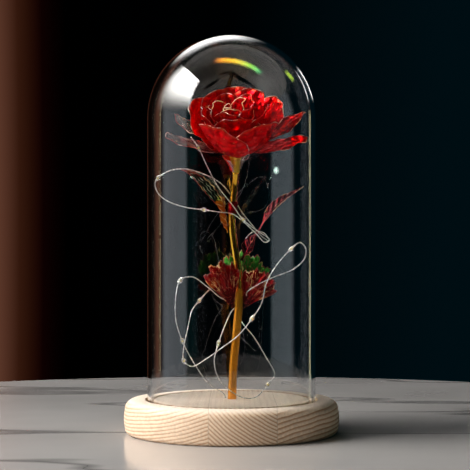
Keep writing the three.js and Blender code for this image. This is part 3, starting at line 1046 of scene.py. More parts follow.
@dataclass(frozen=True)
class FoilFinish:
    """Creased mirror-like metal foil.

    Foil that is wrapped changes between two heights: below them it is duller and spreads its light more, and
    above them a painted red reflection shows on the side that faces right.
    """

    name: str
    colour: Colour
    flush: Colour
    roughness: float = 0.13
    crease: float = 0.3
    metal: float = 1.0
    # The colour of the painted red reflection on the side that faces right, above the wrap
    painted_reflection: Colour = (1.0, 0.30, 0.24)
    wrapped: Pair | None = None
    wrapped_roughness: float = 0.22
    wrapped_metal: float = 0.25

    def make(self) -> Material:
        """Returns the material."""
        shader = Shader(self.name, {"Metallic": self.metal, "Roughness": self.roughness})
        streak = shader.ramp(shader.noise(220, 2, (1, 1, 0.12)), (0.45, 0.0), (0.66, 1.0))
        colour = shader.mix(shader.times(streak, 0.7), self.colour, self.flush)
        if self.wrapped:
            low, high = (part * MM for part in self.wrapped)
            height = shader.axes(shader.coordinates["Object"])[2]
            above = shader.add("ShaderNodeMapRange", {0: height, 1: low, 2: high, 3: 0.0, 4: 1.0}).outputs[0]
            # Painted reflection: above the wrap, the side that faces right takes a red tint
            painted_reflection = shader.times(shader.ramp(shader.facing()[0], (0.6, 0.0), (0.8, 1.0)), above)
            colour = shader.mix(above, self.flush, shader.mix(painted_reflection, colour, self.painted_reflection))
            dull = self.wrapped_roughness
            shader.set("Metallic", shader.scaled(above, self.wrapped_metal, self.metal - self.wrapped_metal))
            shader.set("Roughness", shader.scaled(above, self.roughness - dull, dull))
        shader.set("Base Color", colour)
        shader.bump(shader.noise(330, 2, (1, 1, 0.25)), self.crease, 0.6)
        shader.bump(shader.noise(1600, 2), 0.03, 0.4)
        return shader.material


@dataclass(frozen=True)
class EdgeFinish:
    """The heat-sealed rim of the film: a bead that catches the light, dark where the film's colour ran in."""

    name: str
    colour: Colour
    flush: Colour
    bare: float = 0.46
    runs: float = 230.0

    def make(self) -> Material:
        """Returns the material."""
        shader = Shader(self.name, {"Roughness": 0.3, "Coat Weight": 0.8, "Coat Roughness": 0.08})
        patch = shader.ramp(shader.noise(self.runs, 2), (self.bare, 0.0), (self.bare + 0.05, 1.0))
        shader.set("Base Color", shader.mix(patch, self.colour, self.flush))
        shader.bump(shader.noise(900, 2), 0.05, 0.6)
        return shader.material


class Finishes:
    """The finished materials that several pieces of the rose share."""

    def __init__(self) -> None:
        """Makes each of them once."""
        self.red, self.wine, self.pale = (PetalFinish(tone).make() for tone in FilmTone)
        self.funnel = FunnelFinish().make()
        gold, flush = (1.0, 0.56, 0.06), (1.0, 0.38, 0.02)
        self.foil = FoilFinish("gold_foil", gold, flush, 0.12, wrapped=(75.5, 77.5)).make()
        self.trumpet = FoilFinish("trumpet_foil", (1.0, 0.60, 0.02), (1.0, 0.50, 0.01), 0.3, metal=0.1).make()
        self.rim = EdgeFinish("sealed_rim", (0.40, 0.003, 0.006), (1.0, 0.72, 0.60), 0.52).make()
        self.gold_rim = EdgeFinish("gold_rim", (0.60, 0.05, 0.01), (1.0, 0.86, 0.45), 0.44).make()
        self.leaf_rim = EdgeFinish("leaf_rim", (0.30, 0.003, 0.005), (1.0, 0.62, 0.26), 0.53, 150.0).make()


@dataclass(frozen=True)
class WireFinish:
    """Bright lacquered wire."""

    colour: Colour = (1.0, 1.0, 1.0)
    dull: Colour = (0.95, 0.92, 0.90)

    def make(self) -> Material:
        """Returns the material."""
        shader = Shader("silver_wire", {"Metallic": 0.5})
        worn = shader.noise(700, 2)
        shader.set("Base Color", shader.mix(worn, self.colour, self.dull))
        shader.set("Roughness", shader.ramp(worn, (0.3, 0.18), (0.7, 0.34)))
        return shader.material


@dataclass(frozen=True)
class PlasticFinish:
    """Matt moulded plastic with a fine spark-eroded grain."""

    name: str
    colour: Colour
    roughness: float = 0.5

    def make(self) -> Material:
        """Returns the material."""
        shader = Shader(self.name, {})
        grain = shader.noise(2200, 2)
        light = tuple(min(1.0, 1.5 * part) for part in self.colour)
        shader.set("Base Color", shader.mix(grain, self.colour, light))
        shader.set("Roughness", shader.ramp(grain, (0.3, self.roughness), (0.7, self.roughness + 0.12)))
        shader.bump(grain, 0.03, 0.6)
        return shader.material


@dataclass(frozen=True)
class TableFinish:
    """A pale honed stone top with faint veins."""

    colour: Colour = (0.52, 0.505, 0.495)
    shade: Colour = (0.44, 0.43, 0.425)
    vein: Colour = (0.10, 0.10, 0.10)

    def make(self) -> Material:
        """Returns the material."""
        shader = Shader("table", {})
        cloud = shader.ramp(shader.noise(7, 4, (0.5, 1, 1)), (0.35, self.shade), (0.65, self.colour))
        drift = shader.off(shader.noise(4.5, 3, (0.3, 1.5, 1)), 0.5)
        faint = shader.times(shader.ramp(drift, (0.0, 1.0), (0.012, 0.0)), 0.7)
        shader.set("Base Color", shader.mix(faint, cloud, self.vein))
        shader.set("Roughness", shader.ramp(shader.noise(9, 3), (0.3, 0.12), (0.7, 0.2)))
        return shader.material


# The studio


class Use(Enum):
    """What a light is for: to be mirrored in glossy surfaces, to light dull ones in the open, or both."""

    BOTH = "both"
    MIRRORED = "mirrored"
    SPREAD = "spread"


@dataclass(frozen=True)
class SoftLight:
    """One soft rectangular light that looks at a point, brighter in one part of its face than in another.

    The radiance is that of its brightest part, and the colours run over its face from its left to its right.
    The soft values are how much of the face fades in from its left, right, bottom and top edge, as the object
    sees it.
    """

    name: str
    place: Point
    size: Pair
    radiance: float
    colours: tuple[Colour, ...] = ((1.0, 1.0, 1.0),)
    soft: tuple[float, float, float, float] = (0.1, 0.1, 0.1, 0.1)
    target: Point = (0.0, 0.0, 0.11)
    use: Use = Use.BOTH

    def make(self) -> None:
        """Puts the light in the scene."""
        data = bpy.data.lights.new(self.name, "AREA")
        data.shape = "RECTANGLE"
        data.size, data.size_y = self.size
        data.energy = math.pi * self.radiance * self.size[0] * self.size[1]
        data.use_nodes = True
        self.shade(Nodes(data.node_tree))
        thing = bpy.data.objects.new(self.name, data)
        bpy.context.scene.collection.objects.link(thing)
        thing.visible_diffuse = self.use is not Use.MIRRORED
        thing.visible_glossy = thing.visible_transmission = self.use is not Use.SPREAD
        thing.location = self.place
        thing.rotation_euler = (Vector(self.target) - Vector(self.place)).to_track_quat("-Z", "Y").to_euler()

    def shade(self, nodes: Nodes) -> None:
        """Fades the light's face towards its edges and colours it.

        Args:
            nodes: The light's own tree.
        """
        emission = nodes.tree.nodes["Emission"].inputs
        across, up, _ = nodes.axes(nodes.add("ShaderNodeNewGeometry").outputs["Parametric"])
        left, right, bottom, top = self.soft
        strength: Socket | float = 1.0
        fades = ((across, 0, left), (across, 1, 1 - right), (up, 0, bottom), (up, 1, 1 - top))
        for place, edge, full in fades:
            values = {"Value": place, "From Min": edge, "From Max": full}
            fade = nodes.add("ShaderNodeMapRange", values, interpolation_type="SMOOTHSTEP")
            strength = nodes.times(strength, fade.outputs["Result"])
        nodes.link(strength, emission["Strength"])
        last = max(1, len(self.colours) - 1)
        stops = [(number / last, colour) for number, colour in enumerate((*self.colours, self.colours[-1]))]
        nodes.link(nodes.ramp(across, *stops[: last + 1]), emission["Color"])


LIGHTS = (
    SoftLight(
        "key", (-1.0, 0.06, 0.79), (1.38, 1.04), 14.5, ((1.0, 0.97, 0.93),), (0.75, 0.02, 0.7, 0.02),
        (0.0, 0.06, 0.79),
    ),
    SoftLight("back", (-0.25, 1.3, 1.0), (1.2, 0.3), 1.2, ((1.0, 0.98, 0.95),), (0.4, 0.4, 0.4, 0.4)),
    SoftLight("fill_back", (-0.3, 1.2, 1.3), (1.4, 0.8), 1.2, soft=(0.4, 0.4, 0.4, 0.4)),
    SoftLight("fill_front", (-0.8, -1.1, 0.6), (1.0, 0.7), 0.8, use=Use.SPREAD),
    SoftLight(
        "band_left", (-1.0, -0.08, 0.05), (0.95, 0.9), 0.46, ((0.85, 0.92, 1.0),), (0.25, 0.12, 0.1, 0.3),
    ),
    SoftLight(
        "band_right", (0.95, -0.34, 0.08), (0.72, 0.9), 0.04, ((0.2, 0.95, 1.0),), (0.15, 0.15, 0.1, 0.3),
    ),
    SoftLight(
        "line_right", (0.8, 0.78, 0.08), (0.035, 0.5), 2.4, ((1.0, 0.95, 0.6),), (0.4, 0.4, 0.1, 0.1),
        use=Use.MIRRORED,
    ),
    SoftLight(
        "glint_right", (0.38, 1.13, 0.44), (0.07, 0.22), 2.4, ((1.0, 1.0, 1.0),), (0.3, 0.3, 0.2, 0.2),
        use=Use.MIRRORED,
    ),
    SoftLight(
        "glow_right", (0.81, 0.42, 0.8), (0.14, 0.22), 3.2, ((0.5, 0.8, 0.05),), (0.3, 0.3, 0.3, 0.3),
        use=Use.MIRRORED,
    ),
    SoftLight(
        "glint_green", (0.917, -0.487, 0.182), (0.16, 0.011), 12.0, ((0.7, 1.0, 0.85),), (0.5, 0.5, 0.5, 0.5),
        use=Use.MIRRORED,
    ),
    SoftLight(
        "arc_top", (0.175, -0.21, 1.08), (1.0, 0.16), 8.0,
        ((1.0, 0.25, 0.02), (1.0, 0.55, 0.02), (0.3, 0.75, 0.08), (0.0, 0.5, 0.25)), (0.2, 0.2, 0.4, 0.3),
        (0.255, 0.14, 0.11), Use.MIRRORED,
    ),
)


@dataclass(frozen=True)
class Studio:
    """The camera, the pale table, the dark room behind it and the soft lights.

    The picture is shifted aside by a share of its width. The table top is given by its radius, how far back
    its middle is and the radius of its round edge, in millimetres, and the room by its colours from the left
    of the view to the right.
    """

    distance: float = 0.8
    eye: float = 0.1057
    lens: float = 114.4
    sensor: float = 36.0
    aside: float = 3.5 / 470
    exposure: float = 0.75
    table: tuple[float, float, float] = (394.0, -66.0, 14.0)
    table_facets: int = 256
    room: tuple[tuple[float, Colour], ...] = (
        (0.38, (0.0015, 0.0008, 0.0005)), (0.42, (0.078, 0.030, 0.018)), (0.43, (0.017, 0.0046, 0.002)),
        (0.437, (0.0024, 0.0002, 0.0002)), (0.444, (0.0, 0.0, 0.0)), (0.50, (0.0, 0.0002, 0.0003)),
        (0.531, (0.0001, 0.0014, 0.002)), (0.569, (0.0001, 0.0024, 0.0036)), (0.75, (0.0002, 0.003, 0.0044)),
    )
    lights: tuple[SoftLight, ...] = LIGHTS

    def make_camera(self) -> None:
        """Sets up the camera at the photograph's place and angle."""
        data = bpy.data.cameras.new("camera")
        data.sensor_width = self.sensor
        data.lens = self.lens
        data.shift_x = self.aside
        camera = bpy.data.objects.new("camera", data)
        camera.location = (0.0, -self.distance, self.eye)
        camera.rotation_euler = (math.radians(90), 0.0, 0.0)
        bpy.context.scene.collection.objects.link(camera)
        bpy.context.scene.camera = camera
        bpy.context.scene.view_settings.view_transform = "Standard"
        bpy.context.scene.view_settings.exposure = self.exposure

    def make_surroundings(self, turning: Turning) -> None:
        """Makes everything round the object.

        Args:
            turning: The tree that turns the table.
        """
        self.make_table(turning)
        self.make_room()
        for light in self.lights:
            light.make()

    def make_table(self, turning: Turning) -> None:
        """Makes the round table top, with a full round edge, as a part of the stage.

        Args:
            turning: The tree that turns it.
        """
        radius, back, edge = self.table
        profile = [(0.0, -2 * edge), *arc((radius - edge, -edge), edge, -90, 90, 24), (0.0, 0.0)]
        mesh = turning.turn(profile, self.table_facets, TableFinish().make())
        mesh.transform(Matrix.Translation((0.0, back * MM, 0.0)))
        object_of("table", mesh)

    def make_room(self) -> None:
        """Darkens the room: a soft brown glow on the left, black behind and a teal shade on the right."""
        world = bpy.data.worlds.new("room")
        world.use_nodes = True
        nodes = Nodes(world.node_tree)
        across = nodes.axes(nodes.add("ShaderNodeTexCoord").outputs["Generated"])[0]
        colour = nodes.ramp(nodes.scaled(across, 0.5, 0.5), *self.room)
        nodes.link(colour, nodes.tree.nodes["Background"].inputs["Color"])
        bpy.context.scene.world = world


# The light string


@dataclass(frozen=True)
class LightString:
    """A wire of two twisted strands that carries small lights in clear drops.

    The route is listed, and is the same as in the part's source: out of the base, in loose loops
    round the leaves and the stem, and up to the flower. The lights sit at some of the route's points.
    """

    thickness: float = 0.6
    strand: float = 0.3
    pitch: float = 3.6
    step: float = 0.3
    sides: int = 12
    mouth: Point = (-0.0036, 0.005, 0.018)
    drop_length: float = 4.8
    drop_radius: float = 1.2
    drop_rings: int = 22
    drop_step: float = 0.1
    chip: float = 0.45
    clear: Colour = (1.0, 0.99, 0.96)
    amber: Colour = (0.85, 0.62, 0.16)
    lights: tuple[int, ...] = (4, 6, 13, 19, 34, 38, 43, 47, 65, 70, 78, 82)
    route: tuple[Point, ...] = (
        (-3.6, 5, 13.5), (-3.6, 5, 19.5), (-12.1, 6, 25.3), (-18.5, 3, 34.2), (-26.2, -3, 49.2),
        (-29.8, -4, 62.5), (-27.4, -1, 81.4), (-21.2, 0, 83.3), (-12.6, 1.6, 77.6), (-5.7, 4.8, 71.8),
        (-0.8, 6.4, 70.4), (2.2, 6.4, 67.9), (-0.8, 4, 63.2), (-6.9, -3, 48.1), (-9.2, -4.5, 38.1),
        (-6.6, -6, 29.2), (-0.3, -5.5, 22.7), (6.1, -2.5, 19), (13.1, 0.5, 18.9), (19.4, 0, 25.7),
        (23, -1, 31.1), (18.4, -2, 40.5), (12, 0, 51.1), (5.9, 6, 58.3), (3, 8.8, 63.5),
        (5.6, 9.2, 67.4), (8.7, 5.5, 70.2), (8.3, -2.4, 75.2), (15.8, -3.8, 80.2), (23.8, -3.6, 83.8),
        (32.2, -4, 87.1), (38.6, -5, 92.9), (39.3, -5, 98.8), (36.2, -5.5, 101.7), (31.6, -6, 98.3),
        (23.1, -8, 88.7), (18.3, -9, 79.8), (15.9, -9, 69.7), (10.9, -8.5, 61.5), (3.5, -7, 52.4),
        (-5, -7.5, 46), (-13.5, -8, 40), (-21, -7, 36), (-25.2, -6.5, 38.8), (-25.4, -6.5, 45.2),
        (-23.1, -5, 56.7), (-20.9, -3, 65.7), (-17.2, 0, 70.5), (-12.1, 5, 76.1), (-5.1, 8.5, 80.8),
        (2.4, 10, 85.7), (5.1, 8, 94.4), (7.8, 6, 103.8), (12.1, 5.8, 107.6), (17.5, 5.2, 106.8),
        (20.4, 3.6, 102.5), (16.4, 2.9, 104.9), (11, 4.4, 111.3), (6.2, 6, 117.3), (2.4, 7, 123.2),
        (-1.1, 6.4, 128.3), (-6.7, 1, 134.1), (-14.9, -3, 138.2), (-24.2, -5, 140.8),
        (-32.7, -5, 139.9), (-39.2, -4, 136), (-40.9, -3, 132.9), (-39.2, -2, 127.9),
        (-33.9, -3, 123.7), (-24.2, -5, 120.4), (-14.6, -6, 119.1), (-6.6, -6, 117.9), (0.3, -4, 117),
        (5.6, -3.6, 113.4), (13, -4.5, 106.5), (17.8, -4.5, 101.8), (20.2, -6, 103.3),
        (14.6, -7.5, 107.3), (6.3, -6.2, 113.7), (0.5, -5, 121.6), (-7.2, -6.5, 131.4),
        (-13.2, -9, 142.8), (-17.3, -12, 151.7), (-21.3, -14, 157.3),
    )

    def make(self) -> None:
        coarse = smooth_path(self.route, 12)
        path = even_path(coarse, self.step)
        wire = object_of("light_wire", self.twist(path), WireFinish().make())
        finished(wire, "silver_wire", "light_string")
        drops = self.make_drops(coarse)

    def twist(self, path: Array) -> Mesh:
        """Makes the two strands, one turn of the twist for each pitch.

        Args:
            path: The points of the wire's middle line, one step apart.

        Returns:
            The mesh of both strands.
        """
        gone = np.linspace(0, 1, len(path)) * (len(path) - 1) * self.step
        angle = np.linspace(0, 2 * math.pi, self.sides, endpoint=False)
        strand = self.strand / 2
        across = self.thickness / 2 - strand
        round_it = np.maximum(strand**2 - (np.sin(angle) * across) ** 2, (0.45 * self.strand) ** 2)
        section = np.abs(np.cos(angle)) * across + np.sqrt(round_it)
        radius = np.repeat(section[None, :], len(path), axis=0)
        return swept("light_wire", path, radius, 2 * math.pi * gone / self.pitch)

    def make_drops(self, coarse: Array) -> list[Object]:
        """Makes the clear drops, each round the stretch of wire that it was cast on.

        Args:
            coarse: The samples of the wire's middle line.

        Returns:
            The drops.
        """
        tree = Drop()
        finishes = {
            "Clear finish": GlassFinish("clear_drop", self.clear, 0.03).make(),
            "Chip finish": PlasticFinish("light_chip", self.amber, 0.4).make(),
        }
        sizes = {"Radius": self.drop_radius * MM, "Chip": self.chip * MM}
        fine = even_path(coarse, self.drop_step)
        half = int(self.drop_length / self.drop_step / 2)
        drops = []
        for number, index in enumerate(self.lights, 1):
            nearest = int(np.argmin(np.linalg.norm(fine - np.array(self.route[index]), axis=1)))
            stretch = fine[max(0, nearest - half) : nearest + half + 1]
            line = polyline(even_path(stretch, self.drop_length / self.drop_rings))
            mesh = tree.grow(line, {**sizes, **finishes})
            drops.append(finished(object_of(f"light_drop_{number}", mesh), "silver_wire"))
        return drops


# The base and the dome


class Hole(NamedTuple):
    """A hole in the top of the base: its middle, its radius and its depth."""

    x: float
    y: float
    radius: float
    depth: float


@dataclass(frozen=True)
class Base:
    """The turned pine base, with its groove, its two holes, and the cover of the pocket underneath.

    The groove is given by its inner and outer radius and its depth, the pocket by its radius and depth, the
    cover by the heights of its two faces, its grip by the radii where its rings start and end, their step and
    their depth, and the slot in it by its length, width and depth.
    """

    radius: float = 57.5
    height: float = 18.0
    top_round: float = 5.0
    foot_round: float = 3.0
    bulge: float = 0.5
    bulge_steps: int = 8
    groove: tuple[float, float, float] = (41.5, 46.0, 5.0)
    soften: float = 0.5
    pocket: Pair = (31.3, 3.2)
    pocket_soften: float = 0.3
    pocket_chamfer: float = 0.4
    stem_hole: Hole = Hole(0.3, 0.0, 2.4, 8.0)
    wire_hole: Hole = Hole(-3.6, 5.0, 1.2, 7.0)
    hole_chamfer: float = 0.25
    facets: int = 192
    hole_facets: int = 40
    cover: Pair = (0.5, 2.9)
    cover_radius: float = 31.0
    cover_edges: Pair = (0.6, 0.2)
    cover_ring: float = 9.8
    cover_ring_depth: float = 0.3
    grip: tuple[float, float, float, float] = (22.0, 27.1, 0.5, 0.25)
    slot: tuple[float, float, float] = (14.0, 2.4, 1.1)
    plastic: Colour = (0.028, 0.026, 0.024)

    def make(self, turning: Turning) -> None:
        """Makes the base and the cover."""
        self.make_wood(turning)
        self.make_cover(turning)

    def make_wood(self, turning: Turning) -> None:
        """Turns the base and drills its holes.

        Args:
            turning: The tree that turns it.
        """
        inner, outer, depth = self.groove
        pocket, pocket_top = self.pocket
        side, soft, height = self.radius - self.bulge, self.soften, self.height
        straight = height - self.top_round - self.foot_round
        flank = [
            (side + self.bulge * math.sin(math.pi * t), self.foot_round + straight * t)
            for t in np.linspace(0, 1, self.bulge_steps + 1)[1:-1]
        ]
        profile = [
            (0.0, pocket_top),
            (pocket - self.pocket_soften, pocket_top),
            (pocket, pocket_top - self.pocket_soften),
            (pocket, self.pocket_chamfer),
            (pocket + self.pocket_chamfer, 0.0),
            *arc((side - self.foot_round, self.foot_round), self.foot_round, -90, 0, 8),
            *flank,
            *arc((side - self.top_round, height - self.top_round), self.top_round, 0, 90, 12),
            *arc((outer + soft, height - soft), soft, 90, 180, 4),
            (outer, height - depth),
            (inner, height - depth),
            *arc((inner - soft, height - soft), soft, 0, 90, 4),
            (0.0, height),
        ]
        wood = object_of("pine_base", turning.turn(profile, self.facets, PineFinish().make()))
        for hole in (self.stem_hole, self.wire_hole):
            self.drill(wood, turning, hole)
        finished(wood, "pine", "wood_base")

    def drill(self, wood: Object, turning: Turning, hole: Hole) -> None:
        """Cuts a round hole downwards from the top, its mouth slightly chamfered.

        Args:
            wood: The base.
            turning: The tree that turns the drill.
            hole: The hole.
        """
        top, chamfer = self.height, self.hole_chamfer
        profile = [
            (0.0, top - hole.depth),
            (hole.radius, top - hole.depth),
            (hole.radius, top - chamfer),
            (hole.radius + 2 * chamfer, top + chamfer),
            (0.0, top + chamfer),
        ]
        drill = object_of("drill", turning.turn(profile, self.hole_facets, wood.data.materials[0]))
        drill.data.transform(Matrix.Translation((hole.x * MM, hole.y * MM, 0.0)))
        cut(wood, drill)

    def make_cover(self, turning: Turning) -> None:
        """Makes the cover, ringed for grip, with a slot for a coin.

        Args:
            turning: The tree that turns it.
        """
        low, high = self.cover
        radius, ring, deep = self.cover_radius, self.cover_ring, self.cover_ring_depth
        under, over = self.cover_edges
        start, end, step, depth = self.grip
        grip = [(r, low + (depth if i % 2 else 0.0)) for i, r in enumerate(np.arange(start, end, step))]
        profile = [
            (0.0, low),
            (ring - deep, low),
            (ring, low + deep),
            (ring + deep, low),
            *grip,
            (radius - under, low),
            (radius, low + under),
            (radius, high - over),
            (radius - over, high),
            (0.0, high),
        ]
        plastic = PlasticFinish("dark_plastic", self.plastic).make()
        cover = object_of("pocket_cover", turning.turn(profile, self.facets, plastic))
        length, width, slot_depth = self.slot
        corners = (-length / 2, -width / 2, low - 0.5), (length / 2, width / 2, low + slot_depth / 2)
        cut(cover, object_of("slot", mesh_of("slot", *box_of(*corners)), plastic))
        finished(cover, "dark_plastic", "battery_cover")


@dataclass(frozen=True)
class Dome:
    """The blown glass dome: a straight wall closed by half a sphere, with a fire-rounded lip."""

    radius: float = 45.0
    wall: float = 2.0
    foot: float = 13.0
    height: float = 200.0
    facets: int = 192
    arc_steps: int = 48
    wall_steps: int = 40
    lip_steps: int = 10

    def make(self, turning: Turning) -> None:
        """Makes the dome.

        Args:
            turning: The tree that turns it.
        """
        inner, lip = self.radius - self.wall, self.wall / 2
        spring = self.foot + self.height - self.radius
        heights = np.linspace(self.foot + lip, spring, self.wall_steps + 1)[1:-1]
        profile = [
            (0.0, spring + inner),
            *arc((0.0, spring), inner, 90, 0, self.arc_steps)[1:],
            *[(inner, h) for h in heights[::-1]],
            *arc((inner + lip, self.foot + lip), lip, 180, 360, self.lip_steps),
            *[(self.radius, h) for h in heights],
            *arc((0.0, spring), self.radius, 0, 90, self.arc_steps)[:-1],
            (0.0, spring + self.radius),
        ]
        glass = GlassFinish("clear_glass").make()
        dome = object_of("clear_dome", turning.turn(profile, self.facets, glass))
        finished(dome, "clear_glass", "glass_dome")


# The stem and what sits on it


class Cone(NamedTuple):
    """A flared cone: the heights of its foot and top, its radii there, and the power of its flare."""

    foot: float
    top: float
    neck: float
    rim: float
    flare: float


@dataclass(frozen=True)
class Stem:
    """The foil stem, its red sleeve, the gold trumpet on top and the red funnel round it.

    The girth is the stem's radius at heights along it, and the sleeve is given by its lower and upper height.
    """

    route: tuple[Point, ...] = (
        (0.3, 0, 11), (0.3, 0, 18), (0.9, 0.2, 34), (2.6, 0.6, 53), (4, 1, 71), (3.7, 1.5, 86),
        (2.4, 2, 95), (0.9, 2.4, 105), (0.3, 2.6, 114), (0.9, 2.9, 124), (1.7, 2.6, 132), (2.3, 0.9, 139),
    )
    girth: tuple[Pair, ...] = (
        (11, 2.3), (24, 2.35), (34, 2.15), (70, 2.3), (75.5, 2.45), (77.5, 1.9), (96, 2.0), (112, 2.1),
        (139, 1.8),
    )
    step: float = 0.35
    sides: int = 48
    flats: int = 6
    sleeve: Pair = (117.5, 123.5)
    sleeve_radius: float = 2.5
    sleeve_turns: float = 1.12
    sleeve_film: float = 0.15
    sleeve_steps: tuple[int, int] = (72, 18)
    tilt: float = 24.0
    trumpet: Cone = Cone(0.6, 11.6, 1.8, 4.0, flare=2.2)
    trumpet_wall: float = 0.3
    trumpet_steps: tuple[int, int] = (40, 120)
    core_sides: int = 24
    length: float = 13.2
    points: int = 5
    cup: Cone = Cone(1.6, 9.6, 2.9, 7.0, flare=1.5)
    cup_film: float = 0.12
    cup_steps: tuple[int, int] = (26, 110)
    cup_rim_points: int = 90
    cup_rim: float = 0.1

    def calyx_frame(self) -> Array:
        """Returns the frame at the top of the stem, tilted to the front."""
        return moved(self.route[-1]) @ turn_x(self.tilt)

    def make(self, kit: Finishes, bead: Bead) -> None:
        """Makes the four pieces.

        Args:
            kit: The finishes of foil, film and rims.
            bead: The tree that lays the funnel's rim.
        """
        self.make_stem(kit.foil)
        self.make_sleeve(kit.wine)
        self.make_calyx(kit.trumpet)
        self.make_cup(kit.funnel, kit.rim, bead)

    def make_stem(self, foil: Material) -> None:
        """Makes the stem: foil rolled round a core, in long flats between creases.

        Args:
            foil: Its finish.
        """
        path = even_path(smooth_path(self.route, 16), self.step)
        angle = np.linspace(0, 2 * math.pi, self.sides, endpoint=False)[None, :]
        along = path[:, 2][:, None]
        base = np.interp(path[:, 2], *zip(*self.girth))[:, None]
        drift = 0.35 * np.sin(along / 17.0) + 0.2 * np.sin(along / 7.3 + 1)
        flats = 1 / np.cos(((angle + drift) % (2 * math.pi / self.flats)) - math.pi / self.flats)
        crumple = creases(along / 60 + 0 * angle, np.cos(angle + along / 23) + 0 * along, 11, 9)
        radius = base * (0.72 + 0.26 * flats) + 0.05 * crumple
        finished(object_of("foil_stem", swept("foil_stem", path, radius), foil), "gold_foil", "stem")

    def make_sleeve(self, film_material: Material) -> None:
        """Makes the short sleeve of red film, rolled a little more than once round the stem.

        Args:
            film_material: Its finish.
        """
        low, high = self.sleeve
        middle = (low + high) / 2
        path = smooth_path(self.route, 40)
        x, y, _ = path[np.argmin(np.abs(path[:, 2] - middle))]

        def surface(s: Array, q: Array) -> Array:
            """Places the points of the rolled film.

            Args:
                s: The place round it, from 0 to 1.
                q: The place from its bottom to its top, from -1 to 1.

            Returns:
                The points.
            """
            angle = 2 * math.pi * self.sleeve_turns * s + 0.6
            height = 0.5 * (high - low) * q * (1 + 0.03 * np.sin(9 * s))
            radius = self.sleeve_radius + 0.22 * s + 0.1 * creases(s, q, 21, 5) + 0.12 * q * q
            return polar(radius, angle, height) + [x, y, middle]

        sleeve = film("red_sleeve", surface, *self.sleeve_steps, self.sleeve_film)
        finished(object_of("red_sleeve", sleeve, film_material), "red_film", "stem_collar")

    def make_calyx(self, foil: Material) -> None:
        """Makes the trumpet with its points, and the core under the petals.

        Args:
            foil: The finish of both.
        """
        foot, top, neck, rim, flare = self.trumpet
        calyx_frame = self.calyx_frame()

        def surface(s: Array, q: Array) -> Array:
            """Places the trumpet's points.

            Args:
                s: The place up it, from 0 to 1.
                q: The place round it, from -1 to 1.

            Returns:
                The points.
            """
            angle = math.pi * q
            flute = np.cos(self.points * angle)
            radius = neck + (rim - neck) * s**flare * (1 + 0.08 * flute * s) + 0.1 * s * creases(s, q, 31, 6)
            height = foot + (top - foot) * s + s**6 * 0.7 * flute
            return placed(polar(radius, angle, height), calyx_frame)

        trumpet = film("gold_calyx", surface, *self.trumpet_steps, self.trumpet_wall)
        core_line = np.array([(0, 0, foot + 0.3), (0, 0, 5.0), (0, 0, self.length - 1.0)], float)
        path = placed(even_path(core_line, 0.4), calyx_frame)
        share = np.linspace(0, 1, len(path))[:, None]
        radius = (neck - 0.5) + (rim - neck - 0.2) * share**2 + np.zeros((1, self.core_sides))
        core = swept("core", path, radius)
        finished(object_of("gold_calyx", joined(trumpet, core), foil, foil), "gold_foil", "calyx")

    def make_cup(self, film_material: Material, edge: Material, bead: Bead) -> None:
        """Makes the funnel of film round the trumpet.

        Args:
            film_material: Its finish.
            edge: The finish of its rim.
            bead: The tree that lays the rim.
        """
        bottom, top, neck, rim, flare = self.cup
        calyx_frame = self.calyx_frame()

        def surface(s: Array, q: Array) -> Array:
            """Places the funnel's points, which go once round it and a little over themselves.

            Args:
                s: The place up it, from 0 to 1.
                q: The place round it, from -1 to 1.

            Returns:
                The points.
            """
            angle = math.pi * q * 1.03 + 0.4
            lobes = np.sin(4 * angle + 0.7)
            radius = neck + (rim - neck) * s**flare * (1 + 0.05 * lobes * s) + 0.12 * q
            radius = radius + 0.22 * s * creases(s, q, 41, 5)
            height = bottom + (top - bottom) * s + 0.55 * s**4 * lobes
            return placed(polar(radius, angle, height), calyx_frame)

        cup = film("red_funnel", surface, *self.cup_steps, self.cup_film)
        q = np.linspace(-1, 1, self.cup_rim_points)
        line = bead.lay(surface(np.ones_like(q), q), self.cup_rim, edge)
        finished(object_of("red_funnel", joined(cup, line), film_material, edge), "red_film", "sepal_cup")


# The flower


